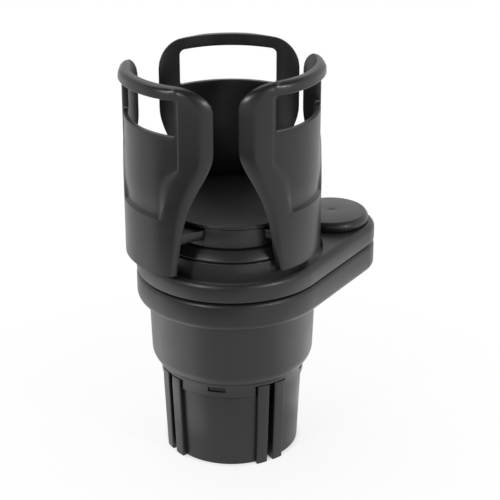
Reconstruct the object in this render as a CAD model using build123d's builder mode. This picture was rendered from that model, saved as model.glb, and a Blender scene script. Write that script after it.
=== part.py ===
from build123d import *
import os
from math import atan, cos, degrees, hypot, radians, sin

# Rotating car cup holder in millimetres, +Z up.
# The origin is on the axis of the base, in the plane that the four feet stand on.
# +X runs from the axis of the cup to the pivot that the upper cup swings about.

# Pear-shaped plates
cup_end_radius = 48.0
pivot_end_radius = 22.4
pivot_offset = 13.5
plug_inset = 14.5
wall = 2.5

# Expanding plug: four segments round an axis of their own
segment_count = 4
segment_rest_opening = 2.0
segment_close_travel = 1.7
segment_open_travel = 7.0
segment_top_z = 40.0
segment_taper = 1.8
segment_wall = 2.4
segment_sweep = 89.3
rib_proud = 2.4
rib_sweep = 10.2
rib_top_gap = 0.4
rib_flag_depth = 1.9
notch_gap = 1.1
foot_lip = 3.0
foot_thickness = 2.0
arm_width = 12.0
arm_thickness = 2.9
arm_pin_margin = 3.2
arm_gusset_depth = 15.0
arm_gusset_length = 3.4
arm_gusset_thickness = 2.0

# Lower housing: skirt, barrel, well and lower plate
band_gap = 0.5
band_wall = 2.4
band_drop = 0.4
band_height = 5.6
skirt_overlap = 1.0
skirt_lip_height = 1.2
knuckle_height = 5.0
knuckle_setback = 1.0
knuckle_round = 3.0
plate_overhang = 6.0
barrel_wall = 2.6
well_taper = 1.8
well_corner = 2.0
floor_drop = 0.2
floor_thickness = 2.4
lower_plate_top_z = 97.2
lower_plate_thickness = 14.6
lower_plate_bottom_round = 3.5
lower_plate_top_round = 1.2
barrel_root_round = 2.0
pocket_inset = 7.5
pocket_depth = 12.0
pocket_rib_thickness = 2.0
pivot_boss_wall = 2.5
window_width = 9.0
window_height = 2.4
window_top_drop = 0.4

# Expanding mechanism: knob with spiral grooves, guide plate and cover
sliding_gap = 0.3
guide_thickness = 2.6
guide_pin_radius = 5.0
guide_pin_fit = 0.1
guide_pin_height = 2.0
hook_width = 8.0
hook_thickness = 1.8
hook_nose = 1.9
drive_pin_radius = 1.7
drive_pin_share = 0.4776
knob_turn = 120.0
groove_depth = 2.0
knob_flange_margin = 1.5
knob_flange_thickness = 2.5
knob_shoulder = 2.9
knob_face_gap = 0.4
knob_grip_width = 7.0
knob_pocket_margin = 4.6
knob_pocket_depth = 1.8
knob_edge_round = 0.6
knob_edge_drop = 0.3
cover_gap = 1.4
cover_thickness = 2.5
cover_screw_margin = 4.5
cover_screw_radius = 1.3
cover_screw_head_radius = 2.5
cover_screw_head_height = 1.6
screw_bite = 2.2
screw_clearance = 0.1

# Swing pivot
pivot_post_inset = 15.4
pivot_fit = 0.06
plate_gap = 0.8
slip_washer_margin = 9.0
slip_washer_clearance = 0.1
pivot_tube_wall = 3.94
pivot_post_drop = 1.2
pivot_washer_margin = 3.2
pivot_washer_thickness = 1.0
pivot_screw_radius = 2.0
pivot_screw_head_radius = 4.2
pivot_screw_head_height = 2.2
pivot_screw_length = 20.0
pivot_screw_slot_width = 1.0
pivot_screw_slot_length = 5.0

# Upper plate that swings
swing_thickness = 10.0
swing_top_round = 3.4
swing_bottom_round = 0.8
moat_margin = 2.2
moat_depth = 3.5
drum_height = 6.4
cap_recess_depth = 4.0
swing_rib_thickness = 1.8
swing_rib_count = 8
column_wall = 2.6

# Pivot cap
cap_margin = 3.4
cap_height = 5.0
cap_seat_gap = 0.2
cap_chamfer_width = 1.5
cap_chamfer_height = 2.0
cap_thickness = 1.6
cap_ring_inset = 3.7
cap_ring_gap = 0.3
cap_ring_wall = 1.6
cap_ring_depth = 3.6
cap_dimple_radius = 2.8
cap_dimple_depth = 0.5

# Claws of the upper cup
claw_count = 3
claw_first_angle = 60.0
claw_blank_sweep = 130.0
claw_inset = 3.6
claw_wall = 3.2
claw_lift = 2.5
claw_height = 94.7
claw_half_share = 0.784
claw_waist_share = 0.685
claw_ankle_share = 0.525
claw_foot_share = 0.487
claw_waist_level = 0.38
claw_shoulder_level = 0.611
claw_top_corner = 11.5
claw_edge_round = 1.1
rim_height = 5.8
rim_proud = 1.5
rim_outer_round = 2.6
rim_inner_round = 1.2
rim_under_round = 1.3
window_half_share = 0.545
claw_window_height = 18.2
claw_window_top_corner = 2.5
claw_window_foot_corner = 1.3
panel_depth = 1.0
panel_half_share = 0.6
panel_waist_level = 0.511
panel_crease_share = 0.383
panel_crease_level = 0.181
rail_share = 0.5536
rail_thickness = 4.6
rail_corner_gap = 0.57
rail_stop_clearance = 0.3
claw_travel_share = 0.357
left_claw_out_share = 0.82

# Hub that carries the claws
drum_gap = 2.5
hub_flange_gap = 3.1
hub_flange_slope = 3.3
hub_flange_height = 5.5
hub_flange_edge = 0.8
shadow_gap_height = 0.5
shadow_gap_depth = 1.4
hub_bore_radius = 10.0
hub_pocket_depth = 2.9
hub_ring_gap = 7.6
hub_ring_height = 4.1
channel_setback = 2.2
block_height = 6.0
channel_clearance = 0.4
stop_stud_radius = 2.5
stop_stud_margin = 4.1
hub_screw_margin = 5.1
hub_screw_radius = 1.5
hub_screw_head_radius = 3.0
hub_screw_head_height = 2.0
hub_screw_drop = 10.5
hub_screw_end_gap = 1.0
floor_disc_overlap = 0.7
floor_disc_thickness = 2.2
floor_disc_round = 0.8
floor_boss_wall = 1.4
floor_boss_length = 4.0

# Detent springs over the rails
spring_margin = 8.2
spring_width = 3.4
spring_share = 0.7
spring_thickness = 0.3
spring_seat_gap = 0.05

# Radii of the lower half, worked out from the sizes above
pivot_distance = cup_end_radius + pivot_offset
segment_top_radius = cup_end_radius - plug_inset
drive_pin_distance = segment_top_radius * drive_pin_share
pivot_post_radius = pivot_end_radius - pivot_post_inset
segment_foot_radius = segment_top_radius - segment_taper
band_inner_radius = segment_top_radius + band_gap
band_outer_radius = band_inner_radius + band_wall
skirt_radius = band_outer_radius + skirt_overlap
barrel_top_radius = cup_end_radius - plate_overhang
knuckle_radius = barrel_top_radius - knuckle_setback
well_mouth_radius = barrel_top_radius - barrel_wall
well_floor_radius = well_mouth_radius - well_taper
pivot_boss_radius = pivot_post_radius + pivot_boss_wall
guide_radius = band_inner_radius - band_gap
slot_inner = drive_pin_distance - segment_close_travel
slot_outer = drive_pin_distance + segment_open_travel
slot_width = 2 * (drive_pin_radius + sliding_gap)
knob_flange_radius = slot_outer + slot_width / 2 + knob_flange_margin
knob_face_radius = knob_flange_radius - knob_shoulder
knob_pocket_radius = knob_face_radius - knob_pocket_margin
arm_inner = drive_pin_distance - arm_pin_margin
arm_end = segment_top_radius - segment_wall / 2
gusset_outer = segment_foot_radius - segment_wall / 2
cover_radius = gusset_outer - arm_gusset_length + segment_rest_opening - segment_close_travel - cover_gap
cover_screw_distance = cover_radius - cover_screw_margin

# Levels of the lower half
band_bottom_z = segment_top_z + band_drop
skirt_z = band_bottom_z + band_height
knuckle_z = skirt_z + knuckle_height
floor_bottom_z = skirt_z + floor_drop
floor_top_z = floor_bottom_z + floor_thickness
lower_plate_bottom_z = lower_plate_top_z - lower_plate_thickness
guide_bottom_z = band_bottom_z
guide_top_z = guide_bottom_z + guide_thickness
knob_bottom_z = guide_top_z + sliding_gap
knob_flange_top_z = knob_bottom_z + knob_flange_thickness
knob_top_z = floor_top_z - knob_edge_drop
drive_pin_top_z = knob_bottom_z + groove_depth - sliding_gap
arm_top_z = guide_bottom_z - sliding_gap
arm_bottom_z = arm_top_z - arm_thickness
cover_top_z = arm_bottom_z - sliding_gap
cover_bottom_z = cover_top_z - cover_thickness
window_mid_z = skirt_z - window_top_drop - window_height / 2
segment_travel = segment_close_travel + segment_open_travel
travel_per_degree = segment_travel / knob_turn

# Radii of the upper half
claw_outer_radius = cup_end_radius - claw_inset
claw_inner_radius = claw_outer_radius - claw_wall
moat_outer_radius = cup_end_radius - moat_margin
drum_radius = claw_inner_radius - drum_gap
hub_flange_bottom_radius = claw_inner_radius - hub_flange_gap
hub_flange_top_radius = hub_flange_bottom_radius - hub_flange_slope
hub_ring_radius = claw_inner_radius - hub_ring_gap
hub_channel_radius = hub_ring_radius - channel_setback
floor_disc_radius = hub_ring_radius + floor_disc_overlap
stop_stud_distance = hub_ring_radius - stop_stud_margin
hub_screw_distance = hub_ring_radius - hub_screw_margin
column_radius = hub_screw_radius + screw_clearance + column_wall
floor_boss_radius = hub_screw_radius + screw_clearance + floor_boss_wall
spring_distance = hub_ring_radius - spring_margin
slip_washer_outer = pivot_post_radius + slip_washer_margin
pivot_tube_radius = pivot_post_radius + pivot_fit + pivot_tube_wall
pivot_washer_radius = pivot_post_radius + pivot_washer_margin
cap_radius = pivot_end_radius - cap_margin
cap_ring_radius = cap_radius - cap_ring_inset
cap_recess_radius = cap_ring_radius + cap_ring_gap

# Sizes of the claws and their rails as shares of the radii that they belong to
claw_half_width = claw_outer_radius * claw_half_share
claw_waist_half_width = claw_outer_radius * claw_waist_share
claw_ankle_half_width = claw_outer_radius * claw_ankle_share
claw_foot_half_width = claw_outer_radius * claw_foot_share
window_half_width = claw_outer_radius * window_half_share
panel_half_width = claw_outer_radius * panel_half_share
panel_crease_half_width = claw_outer_radius * panel_crease_share
claw_travel = hub_ring_radius * claw_travel_share
left_claw_pulled_out = claw_travel * left_claw_out_share
rail_half_width = hub_ring_radius * rail_share
rail_inner_distance = (rail_half_width / 2 + rail_corner_gap) / cos(radians(30.0))
channel_half_width = rail_half_width + channel_clearance
spring_half_length = rail_half_width * spring_share

# Levels of the upper half
swing_bottom_z = lower_plate_top_z + plate_gap
swing_top_z = swing_bottom_z + swing_thickness
skin_bottom_z = swing_top_z - wall
moat_floor_z = swing_top_z - moat_depth
drum_top_z = swing_top_z + drum_height
cap_recess_z = swing_top_z - cap_recess_depth
cap_top_z = swing_top_z + cap_height
pivot_post_top_z = swing_top_z - pivot_post_drop
pivot_tube_top_z = pivot_post_top_z - sliding_gap
hub_flange_top_z = drum_top_z + hub_flange_height
hub_rail_bed_z = hub_flange_top_z + hub_ring_height
block_top_z = hub_rail_bed_z + block_height
floor_disc_top_z = block_top_z + floor_disc_thickness
hub_screw_bottom_z = drum_top_z - hub_screw_drop
hub_screw_top_z = block_top_z - hub_screw_end_gap
rail_bottom_z = hub_rail_bed_z + sliding_gap
rail_top_z = rail_bottom_z + rail_thickness
claw_bottom_z = swing_top_z + claw_lift
claw_top_z = claw_bottom_z + claw_height
claw_ankle_z = rail_bottom_z
claw_blade_height = claw_top_z - claw_ankle_z
claw_waist_z = claw_ankle_z + claw_blade_height * claw_waist_level
claw_shoulder_z = claw_ankle_z + claw_blade_height * claw_shoulder_level
panel_waist_z = claw_ankle_z + claw_blade_height * panel_waist_level
panel_crease_z = claw_ankle_z + claw_blade_height * panel_crease_level
rim_bottom_z = claw_top_z - rim_height
window_bottom_z = rim_bottom_z - claw_window_height

quarter_turns = [0.0, 90.0, 180.0, 270.0]
segment_turns = [45.0, 135.0, 225.0, 315.0]
claw_turns = [claw_first_angle + step * 360.0 / claw_count for step in range(claw_count)]
block_turns = [turn - 180.0 for turn in claw_turns]

os.makedirs("parts", exist_ok=True)


def save(piece, name):
    """Label one finished piece and write its STEP file."""
    piece.label = name
    export_step(piece, f"parts/{name}.step")


def pear(inset=0.0):
    """Draw the plates' outline, drawn in by inset, in the sketch that is open."""
    Circle(cup_end_radius - inset)
    with Locations((pivot_distance, 0)):
        Circle(pivot_end_radius - inset)
    make_hull()


def at(reach, turn):
    """Give the point that lies at reach from the cup axis in the direction turn."""
    return (reach * cos(radians(turn)), reach * sin(radians(turn)))


def radial_plane(turn):
    """Give the upright plane through the cup axis whose x runs in the direction turn."""
    return Plane(origin=(0, 0, 0), x_dir=(*at(1.0, turn), 0), z_dir=(*at(1.0, turn - 90.0), 0))


# Lower housing: pear-shaped plate, barrel with the lower cup well, skirt and snap windows
barrel_root_z = lower_plate_bottom_z + barrel_root_round
with BuildPart() as base_housing:
    with BuildSketch(Plane.XY.offset(lower_plate_bottom_z)):
        pear()
    extrude(amount=lower_plate_top_z - lower_plate_bottom_z)
    fillet(base_housing.edges().group_by(Axis.Z)[0], radius=lower_plate_bottom_round)
    fillet(base_housing.edges().group_by(Axis.Z)[-1], radius=lower_plate_top_round)
    # Open pocket under the pivot end, with the pivot boss and its ribs
    with BuildSketch(Plane.XY.offset(lower_plate_bottom_z)):
        pear(pocket_inset)
        Circle(barrel_top_radius + wall, mode=Mode.SUBTRACT)
        with Locations((pivot_distance, 0)):
            Circle(pivot_boss_radius, mode=Mode.SUBTRACT)
            Rectangle(2 * pivot_end_radius, pocket_rib_thickness, mode=Mode.SUBTRACT)
            Rectangle(pocket_rib_thickness, 2 * pivot_end_radius, mode=Mode.SUBTRACT)
    extrude(amount=pocket_depth, mode=Mode.SUBTRACT)
    # Barrel, skirt and band turned about the cup axis
    with BuildSketch(Plane.XZ):
        with BuildLine():
            Polyline(
                (0, floor_bottom_z),
                (band_inner_radius, floor_bottom_z),
                (band_inner_radius, band_bottom_z),
                (band_outer_radius, band_bottom_z),
                (band_outer_radius, skirt_z),
                (skirt_radius, skirt_z),
                (skirt_radius, skirt_z + skirt_lip_height),
                (knuckle_radius, knuckle_z),
                (barrel_top_radius, barrel_root_z),
                (barrel_top_radius, lower_plate_top_z),
                (0, lower_plate_top_z),
                close=True,
            )
        make_face()
    revolve(axis=Axis.Z)
    knuckle = base_housing.edges().filter_by(GeomType.CIRCLE).filter_by_position(
        Axis.Z, knuckle_z - 0.01, knuckle_z + 0.01
    )
    fillet(knuckle, radius=knuckle_round)
    # Well for the lower cup, slightly wider at the mouth
    with BuildSketch(Plane.XY.offset(floor_top_z)):
        Circle(well_floor_radius)
    with BuildSketch(Plane.XY.offset(lower_plate_top_z)):
        Circle(well_mouth_radius)
    loft(mode=Mode.SUBTRACT)
    well_floor_edge = base_housing.edges().filter_by(GeomType.CIRCLE).filter_by_position(
        Axis.Z, floor_top_z - 0.01, floor_top_z + 0.01
    )
    fillet(well_floor_edge, radius=well_corner)
    # Round opening in the well floor for the knob
    with BuildSketch(Plane.XY.offset(floor_bottom_z)):
        Circle(knob_face_radius + knob_face_gap)
    extrude(amount=floor_thickness, mode=Mode.SUBTRACT)
    # Notches in the band for the ribs of the segments
    notch_half_width = (segment_top_radius + rib_proud) * sin(radians(rib_sweep)) + notch_gap
    notch_half_width += segment_rest_opening * sin(radians(45.0))
    with BuildSketch(Plane.XY.offset(band_bottom_z)):
        Circle(skirt_radius)
        Circle(band_inner_radius, mode=Mode.SUBTRACT)
        Rectangle(2 * skirt_radius, 2 * notch_half_width, mode=Mode.INTERSECT)
    extrude(amount=band_height, mode=Mode.SUBTRACT)
    with BuildSketch(Plane.XY.offset(band_bottom_z)):
        Circle(skirt_radius)
        Circle(band_inner_radius, mode=Mode.SUBTRACT)
        Rectangle(2 * notch_half_width, 2 * skirt_radius, mode=Mode.INTERSECT)
    extrude(amount=band_height, mode=Mode.SUBTRACT)
    # Snap windows that hold the guide plate
    for turn in segment_turns:
        with Locations(Location((*at(band_outer_radius, turn), window_mid_z), (0, 0, turn))):
            Box(4 * wall, window_width, window_height, mode=Mode.SUBTRACT)
    # Pivot post with its screw hole
    with BuildSketch(Plane.XY.offset(lower_plate_top_z)):
        with Locations((pivot_distance, 0)):
            Circle(pivot_post_radius)
    extrude(amount=pivot_post_top_z - lower_plate_top_z)
    with BuildSketch(Plane.XY.offset(pivot_post_top_z)):
        with Locations((pivot_distance, 0)):
            Circle(pivot_screw_radius + screw_clearance)
    extrude(amount=-pivot_screw_length, mode=Mode.SUBTRACT)
save(base_housing.part, "base_housing")

# Base segment, modelled in the direction +X with its own axis on the origin:
# curved panel, two ribs at its edges, foot lip, sliding arm and drive pin
rib_top_z = skirt_z - rib_top_gap
flag_inner_radius = segment_top_radius + rib_proud - rib_flag_depth
with BuildPart() as segment:
    with BuildSketch(radial_plane(-segment_sweep / 2)):
        with BuildLine():
            Polyline(
                (segment_foot_radius, 0),
                (segment_top_radius, segment_top_z),
                (segment_top_radius - segment_wall, segment_top_z),
                (segment_foot_radius - segment_wall, foot_thickness),
                (segment_foot_radius - segment_wall - foot_lip, foot_thickness),
                (segment_foot_radius - segment_wall - foot_lip, 0),
                close=True,
            )
        make_face()
    revolve(axis=Axis.Z, revolution_arc=segment_sweep)
    for edge_turn in (-segment_sweep / 2, segment_sweep / 2 - rib_sweep):
        with BuildSketch(radial_plane(edge_turn)):
            with BuildLine():
                Polyline(
                    (segment_foot_radius - segment_wall / 2, 0),
                    (segment_foot_radius + rib_proud, 0),
                    (segment_top_radius + rib_proud, segment_top_z),
                    (segment_top_radius + rib_proud, rib_top_z),
                    (flag_inner_radius, rib_top_z),
                    (flag_inner_radius, segment_top_z),
                    (segment_top_radius - segment_wall / 2, segment_top_z),
                    close=True,
                )
            make_face()
        revolve(axis=Axis.Z, revolution_arc=rib_sweep)
    with BuildSketch(Plane.XY.offset(arm_bottom_z)):
        with Locations((arm_inner - segment_rest_opening, 0)):
            Rectangle(
                arm_end - arm_inner + segment_rest_opening,
                arm_width,
                align=(Align.MIN, Align.CENTER),
            )
    extrude(amount=arm_thickness)
    with BuildSketch(Plane.XY.offset(arm_top_z)):
        with Locations((drive_pin_distance - segment_rest_opening, 0)):
            Circle(drive_pin_radius)
    extrude(amount=drive_pin_top_z - arm_top_z)
    with BuildSketch(Plane.XZ):
        with BuildLine():
            Polyline(
                (arm_end, arm_bottom_z),
                (gusset_outer - arm_gusset_length, arm_bottom_z),
                (gusset_outer, arm_bottom_z - arm_gusset_depth),
                (arm_end - 1.0, arm_bottom_z - arm_gusset_depth),
                close=True,
            )
        make_face()
    extrude(amount=arm_gusset_thickness / 2, both=True)

segment_sides = ["back_right", "back_left", "front_left", "front_right"]
for side, turn in zip(segment_sides, segment_turns):
    with BuildPart() as placed_segment:
        with Locations(Location((*at(segment_rest_opening, turn), 0), (0, 0, turn))):
            add(segment.part)
    save(placed_segment.part, f"base_segment_{side}")

# Guide plate: snaps into the skirt, carries the knob's centre pin and guides the drive pins
hook_nose_z = window_mid_z - window_height / 2 + sliding_gap
hook_top_z = floor_bottom_z - sliding_gap
with BuildPart() as base_guide_plate:
    with BuildSketch(Plane.XY.offset(guide_bottom_z)):
        Circle(guide_radius)
        with PolarLocations((slot_inner + slot_outer) / 2, segment_count, start_angle=45.0):
            SlotCenterToCenter(slot_outer - slot_inner, slot_width, mode=Mode.SUBTRACT)
        with PolarLocations(cover_screw_distance, segment_count):
            Circle(cover_screw_radius + screw_clearance, mode=Mode.SUBTRACT)
    extrude(amount=guide_thickness)
    with BuildSketch(Plane.XY.offset(guide_top_z)):
        Circle(guide_pin_radius)
    extrude(amount=guide_pin_height)
    for turn in segment_turns:
        with BuildSketch(radial_plane(turn)):
            with BuildLine():
                Polyline(
                    (guide_radius - hook_thickness, guide_top_z),
                    (guide_radius, guide_top_z),
                    (guide_radius, hook_nose_z),
                    (guide_radius + hook_nose, hook_nose_z),
                    (guide_radius + hook_nose, hook_nose_z + sliding_gap),
                    (guide_radius, hook_top_z),
                    (guide_radius - hook_thickness, hook_top_z),
                    close=True,
                )
            make_face()
        extrude(amount=hook_width / 2, both=True)
save(base_guide_plate.part, "base_guide_plate")

# Cover under the arms: a thin disc with four pads that the arms slide between
with BuildPart() as base_cover:
    with BuildSketch(Plane.XY.offset(cover_bottom_z)):
        Circle(cover_radius)
    extrude(amount=cover_thickness)
    with BuildSketch(Plane.XY.offset(cover_top_z)):
        Circle(cover_radius)
        Rectangle(2 * cover_radius, arm_width + 2 * sliding_gap, rotation=45.0, mode=Mode.SUBTRACT)
        Rectangle(2 * cover_radius, arm_width + 2 * sliding_gap, rotation=135.0, mode=Mode.SUBTRACT)
    extrude(amount=guide_bottom_z - cover_top_z)
    with BuildSketch(Plane.XY.offset(cover_bottom_z)):
        with PolarLocations(cover_screw_distance, segment_count):
            Circle(cover_screw_radius + screw_clearance)
    extrude(amount=guide_bottom_z - cover_bottom_z, mode=Mode.SUBTRACT)
save(base_cover.part, "base_cover")

with BuildPart() as base_cover_screws:
    with Locations(*[(*at(cover_screw_distance, turn), cover_bottom_z) for turn in quarter_turns]):
        Cylinder(
            cover_screw_radius,
            guide_bottom_z - cover_bottom_z + screw_bite,
            align=(Align.CENTER, Align.CENTER, Align.MIN),
        )
        Cylinder(
            cover_screw_head_radius,
            cover_screw_head_height,
            align=(Align.CENTER, Align.CENTER, Align.MAX),
        )
    head_edges = base_cover_screws.edges().group_by(Axis.Z)[0]
    fillet(head_edges, radius=cover_screw_head_height / 3)
save(base_cover_screws.part, "base_cover_screws")

# Knob in the well floor: turning it drives the four segments in and out
groove_start_turn = -segment_close_travel / travel_per_degree
groove_slope = atan(degrees(travel_per_degree) / slot_inner)
groove_half_width = slot_width / 2 / cos(groove_slope)
groove_points = 9
with BuildPart() as base_knob:
    with BuildSketch(Plane.XY.offset(knob_bottom_z)):
        Circle(knob_flange_radius)
    extrude(amount=knob_flange_thickness)
    with BuildSketch(Plane.XY.offset(knob_flange_top_z)):
        Circle(knob_face_radius)
    extrude(amount=knob_top_z - knob_flange_top_z)
    fillet(base_knob.edges().group_by(Axis.Z)[-1], radius=knob_edge_round)
    # Finger pockets on both sides of the grip bar
    with BuildSketch(Plane.XY.offset(knob_top_z)):
        Circle(knob_pocket_radius)
        Rectangle(2 * knob_pocket_radius, knob_grip_width, mode=Mode.SUBTRACT)
    extrude(amount=-knob_pocket_depth, mode=Mode.SUBTRACT)
    # Bore for the centre pin of the guide plate
    with BuildSketch(Plane.XY.offset(knob_bottom_z)):
        Circle(guide_pin_radius + guide_pin_fit)
    extrude(amount=groove_depth, mode=Mode.SUBTRACT)
    # Four spiral grooves: each draws its pin out evenly as the knob turns
    for turn in segment_turns:
        outer_side = []
        inner_side = []
        for step in range(groove_points):
            knob_angle = groove_start_turn + knob_turn * step / (groove_points - 1)
            reach = drive_pin_distance + travel_per_degree * knob_angle
            outer_side.append(at(reach + groove_half_width, turn - knob_angle))
            inner_side.append(at(reach - groove_half_width, turn - knob_angle))
        start_turn = turn - groove_start_turn + degrees(groove_half_width / slot_inner)
        end_turn = turn - groove_start_turn - knob_turn - degrees(groove_half_width / slot_outer)
        with BuildSketch(Plane.XY.offset(knob_bottom_z)):
            with BuildLine():
                Spline(*outer_side)
                Spline(*inner_side)
                ThreePointArc(outer_side[0], at(slot_inner, start_turn), inner_side[0])
                ThreePointArc(outer_side[-1], at(slot_outer, end_turn), inner_side[-1])
            make_face()
        extrude(amount=groove_depth, mode=Mode.SUBTRACT)
save(base_knob.part, "base_knob")

# Slip washer between the two plates
with BuildPart() as slip_washer:
    with BuildSketch(Plane.XY.offset(lower_plate_top_z)):
        with Locations((pivot_distance, 0)):
            Circle(slip_washer_outer)
            Circle(pivot_post_radius + slip_washer_clearance, mode=Mode.SUBTRACT)
    extrude(amount=plate_gap - slip_washer_clearance)
save(slip_washer.part, "slip_washer")

# Upper plate: pear-shaped shell with the round drum that carries the hub
with BuildPart() as swing_plate:
    with BuildSketch(Plane.XY.offset(swing_bottom_z)):
        pear()
    extrude(amount=swing_top_z - swing_bottom_z)
    fillet(swing_plate.edges().group_by(Axis.Z)[-1], radius=swing_top_round)
    fillet(swing_plate.edges().group_by(Axis.Z)[0], radius=swing_bottom_round)
    # Hollow underside
    with BuildSketch(Plane.XY.offset(swing_bottom_z)):
        pear(wall + swing_bottom_round)
        Circle(moat_outer_radius + wall / 2, mode=Mode.SUBTRACT)
    extrude(amount=skin_bottom_z - swing_bottom_z, mode=Mode.SUBTRACT)
    # Ring-shaped moat round the drum
    with BuildSketch(Plane.XY.offset(moat_floor_z)):
        Circle(moat_outer_radius)
    extrude(amount=moat_depth, mode=Mode.SUBTRACT)
    with BuildSketch(Plane.XY.offset(moat_floor_z)):
        Circle(drum_radius)
    extrude(amount=drum_top_z - moat_floor_z)
    with BuildSketch(Plane.XY.offset(swing_bottom_z)):
        Circle(cup_end_radius - wall - swing_bottom_round)
        Circle(drum_radius, mode=Mode.SUBTRACT)
    extrude(amount=moat_floor_z - wall - swing_bottom_z, mode=Mode.SUBTRACT)
    with BuildSketch(Plane.XY.offset(swing_bottom_z)):
        Circle(drum_radius - wall)
    extrude(amount=drum_top_z - wall - swing_bottom_z, mode=Mode.SUBTRACT)
    # Ribs in the underside, between the drum and the rim and towards the pivot
    with BuildSketch(Plane.XY.offset(swing_bottom_z + plate_gap)):
        with PolarLocations(drum_radius + wall, swing_rib_count, start_angle=180.0 / swing_rib_count):
            Rectangle(moat_outer_radius - drum_radius + wall - swing_bottom_round, swing_rib_thickness)
        with Locations((pivot_distance - pivot_end_radius / 2, 0)):
            Rectangle(pivot_end_radius, swing_rib_thickness)
        with Locations((pivot_distance, 0)):
            Rectangle(swing_rib_thickness, 2 * (pivot_end_radius - wall))
    extrude(amount=moat_floor_z - wall / 2 - swing_bottom_z - plate_gap)
    # Recess for the cap's ring, and the tube that turns on the post
    with BuildSketch(Plane.XY.offset(cap_recess_z - wall)):
        with Locations((pivot_distance, 0)):
            Circle(cap_recess_radius + wall / 2)
    extrude(amount=wall)
    with BuildSketch(Plane.XY.offset(cap_recess_z)):
        with Locations((pivot_distance, 0)):
            Circle(cap_recess_radius)
    extrude(amount=cap_recess_depth, mode=Mode.SUBTRACT)
    with BuildSketch(Plane.XY.offset(swing_bottom_z)):
        with Locations((pivot_distance, 0)):
            Circle(pivot_tube_radius)
    extrude(amount=pivot_tube_top_z - swing_bottom_z)
    with BuildSketch(Plane.XY.offset(swing_bottom_z)):
        with Locations((pivot_distance, 0)):
            Circle(pivot_post_radius + pivot_fit)
    extrude(amount=swing_top_z - swing_bottom_z, mode=Mode.SUBTRACT)
    # Columns inside the drum for the hub screws
    with BuildSketch(Plane.XY.offset(hub_screw_bottom_z)):
        with Locations(*[at(hub_screw_distance, turn) for turn in block_turns]):
            Circle(column_radius)
    extrude(amount=drum_top_z - hub_screw_bottom_z)
    with BuildSketch(Plane.XY.offset(hub_screw_bottom_z)):
        with Locations(*[at(hub_screw_distance, turn) for turn in block_turns]):
            Circle(hub_screw_radius + screw_clearance)
    extrude(amount=drum_top_z - hub_screw_bottom_z, mode=Mode.SUBTRACT)
save(swing_plate.part, "swing_plate")

# Washer and screw that hold the swing plate on the post
with BuildPart() as pivot_washer:
    with BuildSketch(Plane.XY.offset(pivot_post_top_z)):
        with Locations((pivot_distance, 0)):
            Circle(pivot_washer_radius)
            Circle(pivot_screw_radius + screw_clearance, mode=Mode.SUBTRACT)
    extrude(amount=pivot_washer_thickness)
save(pivot_washer.part, "pivot_washer")

pivot_screw_head_z = pivot_post_top_z + pivot_washer_thickness
with BuildPart() as pivot_screw:
    with Locations((pivot_distance, 0, pivot_screw_head_z)):
        Cylinder(
            pivot_screw_radius,
            pivot_screw_length,
            align=(Align.CENTER, Align.CENTER, Align.MAX),
        )
        Cylinder(
            pivot_screw_head_radius,
            pivot_screw_head_height,
            align=(Align.CENTER, Align.CENTER, Align.MIN),
        )
    fillet(pivot_screw.edges().group_by(Axis.Z)[-1], radius=pivot_screw_head_height / 2)
    with Locations((pivot_distance, 0, pivot_screw_head_z + pivot_screw_head_height)):
        Box(pivot_screw_slot_width, pivot_screw_slot_length, pivot_screw_head_height, mode=Mode.SUBTRACT)
        Box(pivot_screw_slot_length, pivot_screw_slot_width, pivot_screw_head_height, mode=Mode.SUBTRACT)
save(pivot_screw.part, "pivot_screw")

# Cap over the pivot: dished centre, bevelled edge and a ring that snaps into the recess
cap_bottom_z = swing_top_z + cap_seat_gap
with BuildPart() as pivot_cap:
    with BuildSketch(Plane.XZ.offset(0)):
        with BuildLine():
            Polyline(
                (0, cap_top_z),
                (cap_radius - cap_chamfer_width, cap_top_z),
                (cap_radius, cap_top_z - cap_chamfer_height),
                (cap_radius, cap_bottom_z),
                (cap_ring_radius, cap_bottom_z),
                (cap_ring_radius, cap_bottom_z - cap_ring_depth),
                (cap_ring_radius - cap_ring_wall, cap_bottom_z - cap_ring_depth),
                (cap_ring_radius - cap_ring_wall, cap_top_z - cap_thickness),
                (0, cap_top_z - cap_thickness),
                close=True,
            )
        make_face()
    revolve(axis=Axis.Z)
    with Locations((0, 0, cap_top_z)):
        Cone(0.6, cap_dimple_radius, 2 * cap_dimple_depth, mode=Mode.SUBTRACT)
with BuildPart() as placed_cap:
    with Locations((pivot_distance, 0, 0)):
        add(pivot_cap.part)
save(placed_cap.part, "pivot_cap")

# Hub flange: sloping ring that clamps the hub to the drum
with BuildPart() as hub_base:
    with BuildSketch(Plane.XZ):
        with BuildLine():
            Polyline(
                (hub_bore_radius, drum_top_z),
                (hub_flange_bottom_radius - shadow_gap_depth, drum_top_z),
                (hub_flange_bottom_radius - shadow_gap_depth, drum_top_z + shadow_gap_height),
                (hub_flange_bottom_radius, drum_top_z + shadow_gap_height),
                (hub_flange_bottom_radius, drum_top_z + shadow_gap_height + hub_flange_edge),
                (hub_flange_top_radius, hub_flange_top_z),
                (hub_bore_radius, hub_flange_top_z),
                close=True,
            )
        make_face()
    revolve(axis=Axis.Z)
    with BuildSketch(Plane.XY.offset(drum_top_z)):
        Circle(hub_ring_radius - wall / 2)
        Circle(hub_bore_radius + wall, mode=Mode.SUBTRACT)
        with Locations(*[at(hub_screw_distance, turn) for turn in block_turns]):
            Circle(column_radius, mode=Mode.SUBTRACT)
    extrude(amount=hub_pocket_depth, mode=Mode.SUBTRACT)
    with BuildSketch(Plane.XY.offset(drum_top_z)):
        with Locations(*[at(hub_screw_distance, turn) for turn in block_turns]):
            Circle(hub_screw_radius + screw_clearance)
    extrude(amount=hub_flange_height, mode=Mode.SUBTRACT)
save(hub_base.part, "hub_base")

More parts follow.
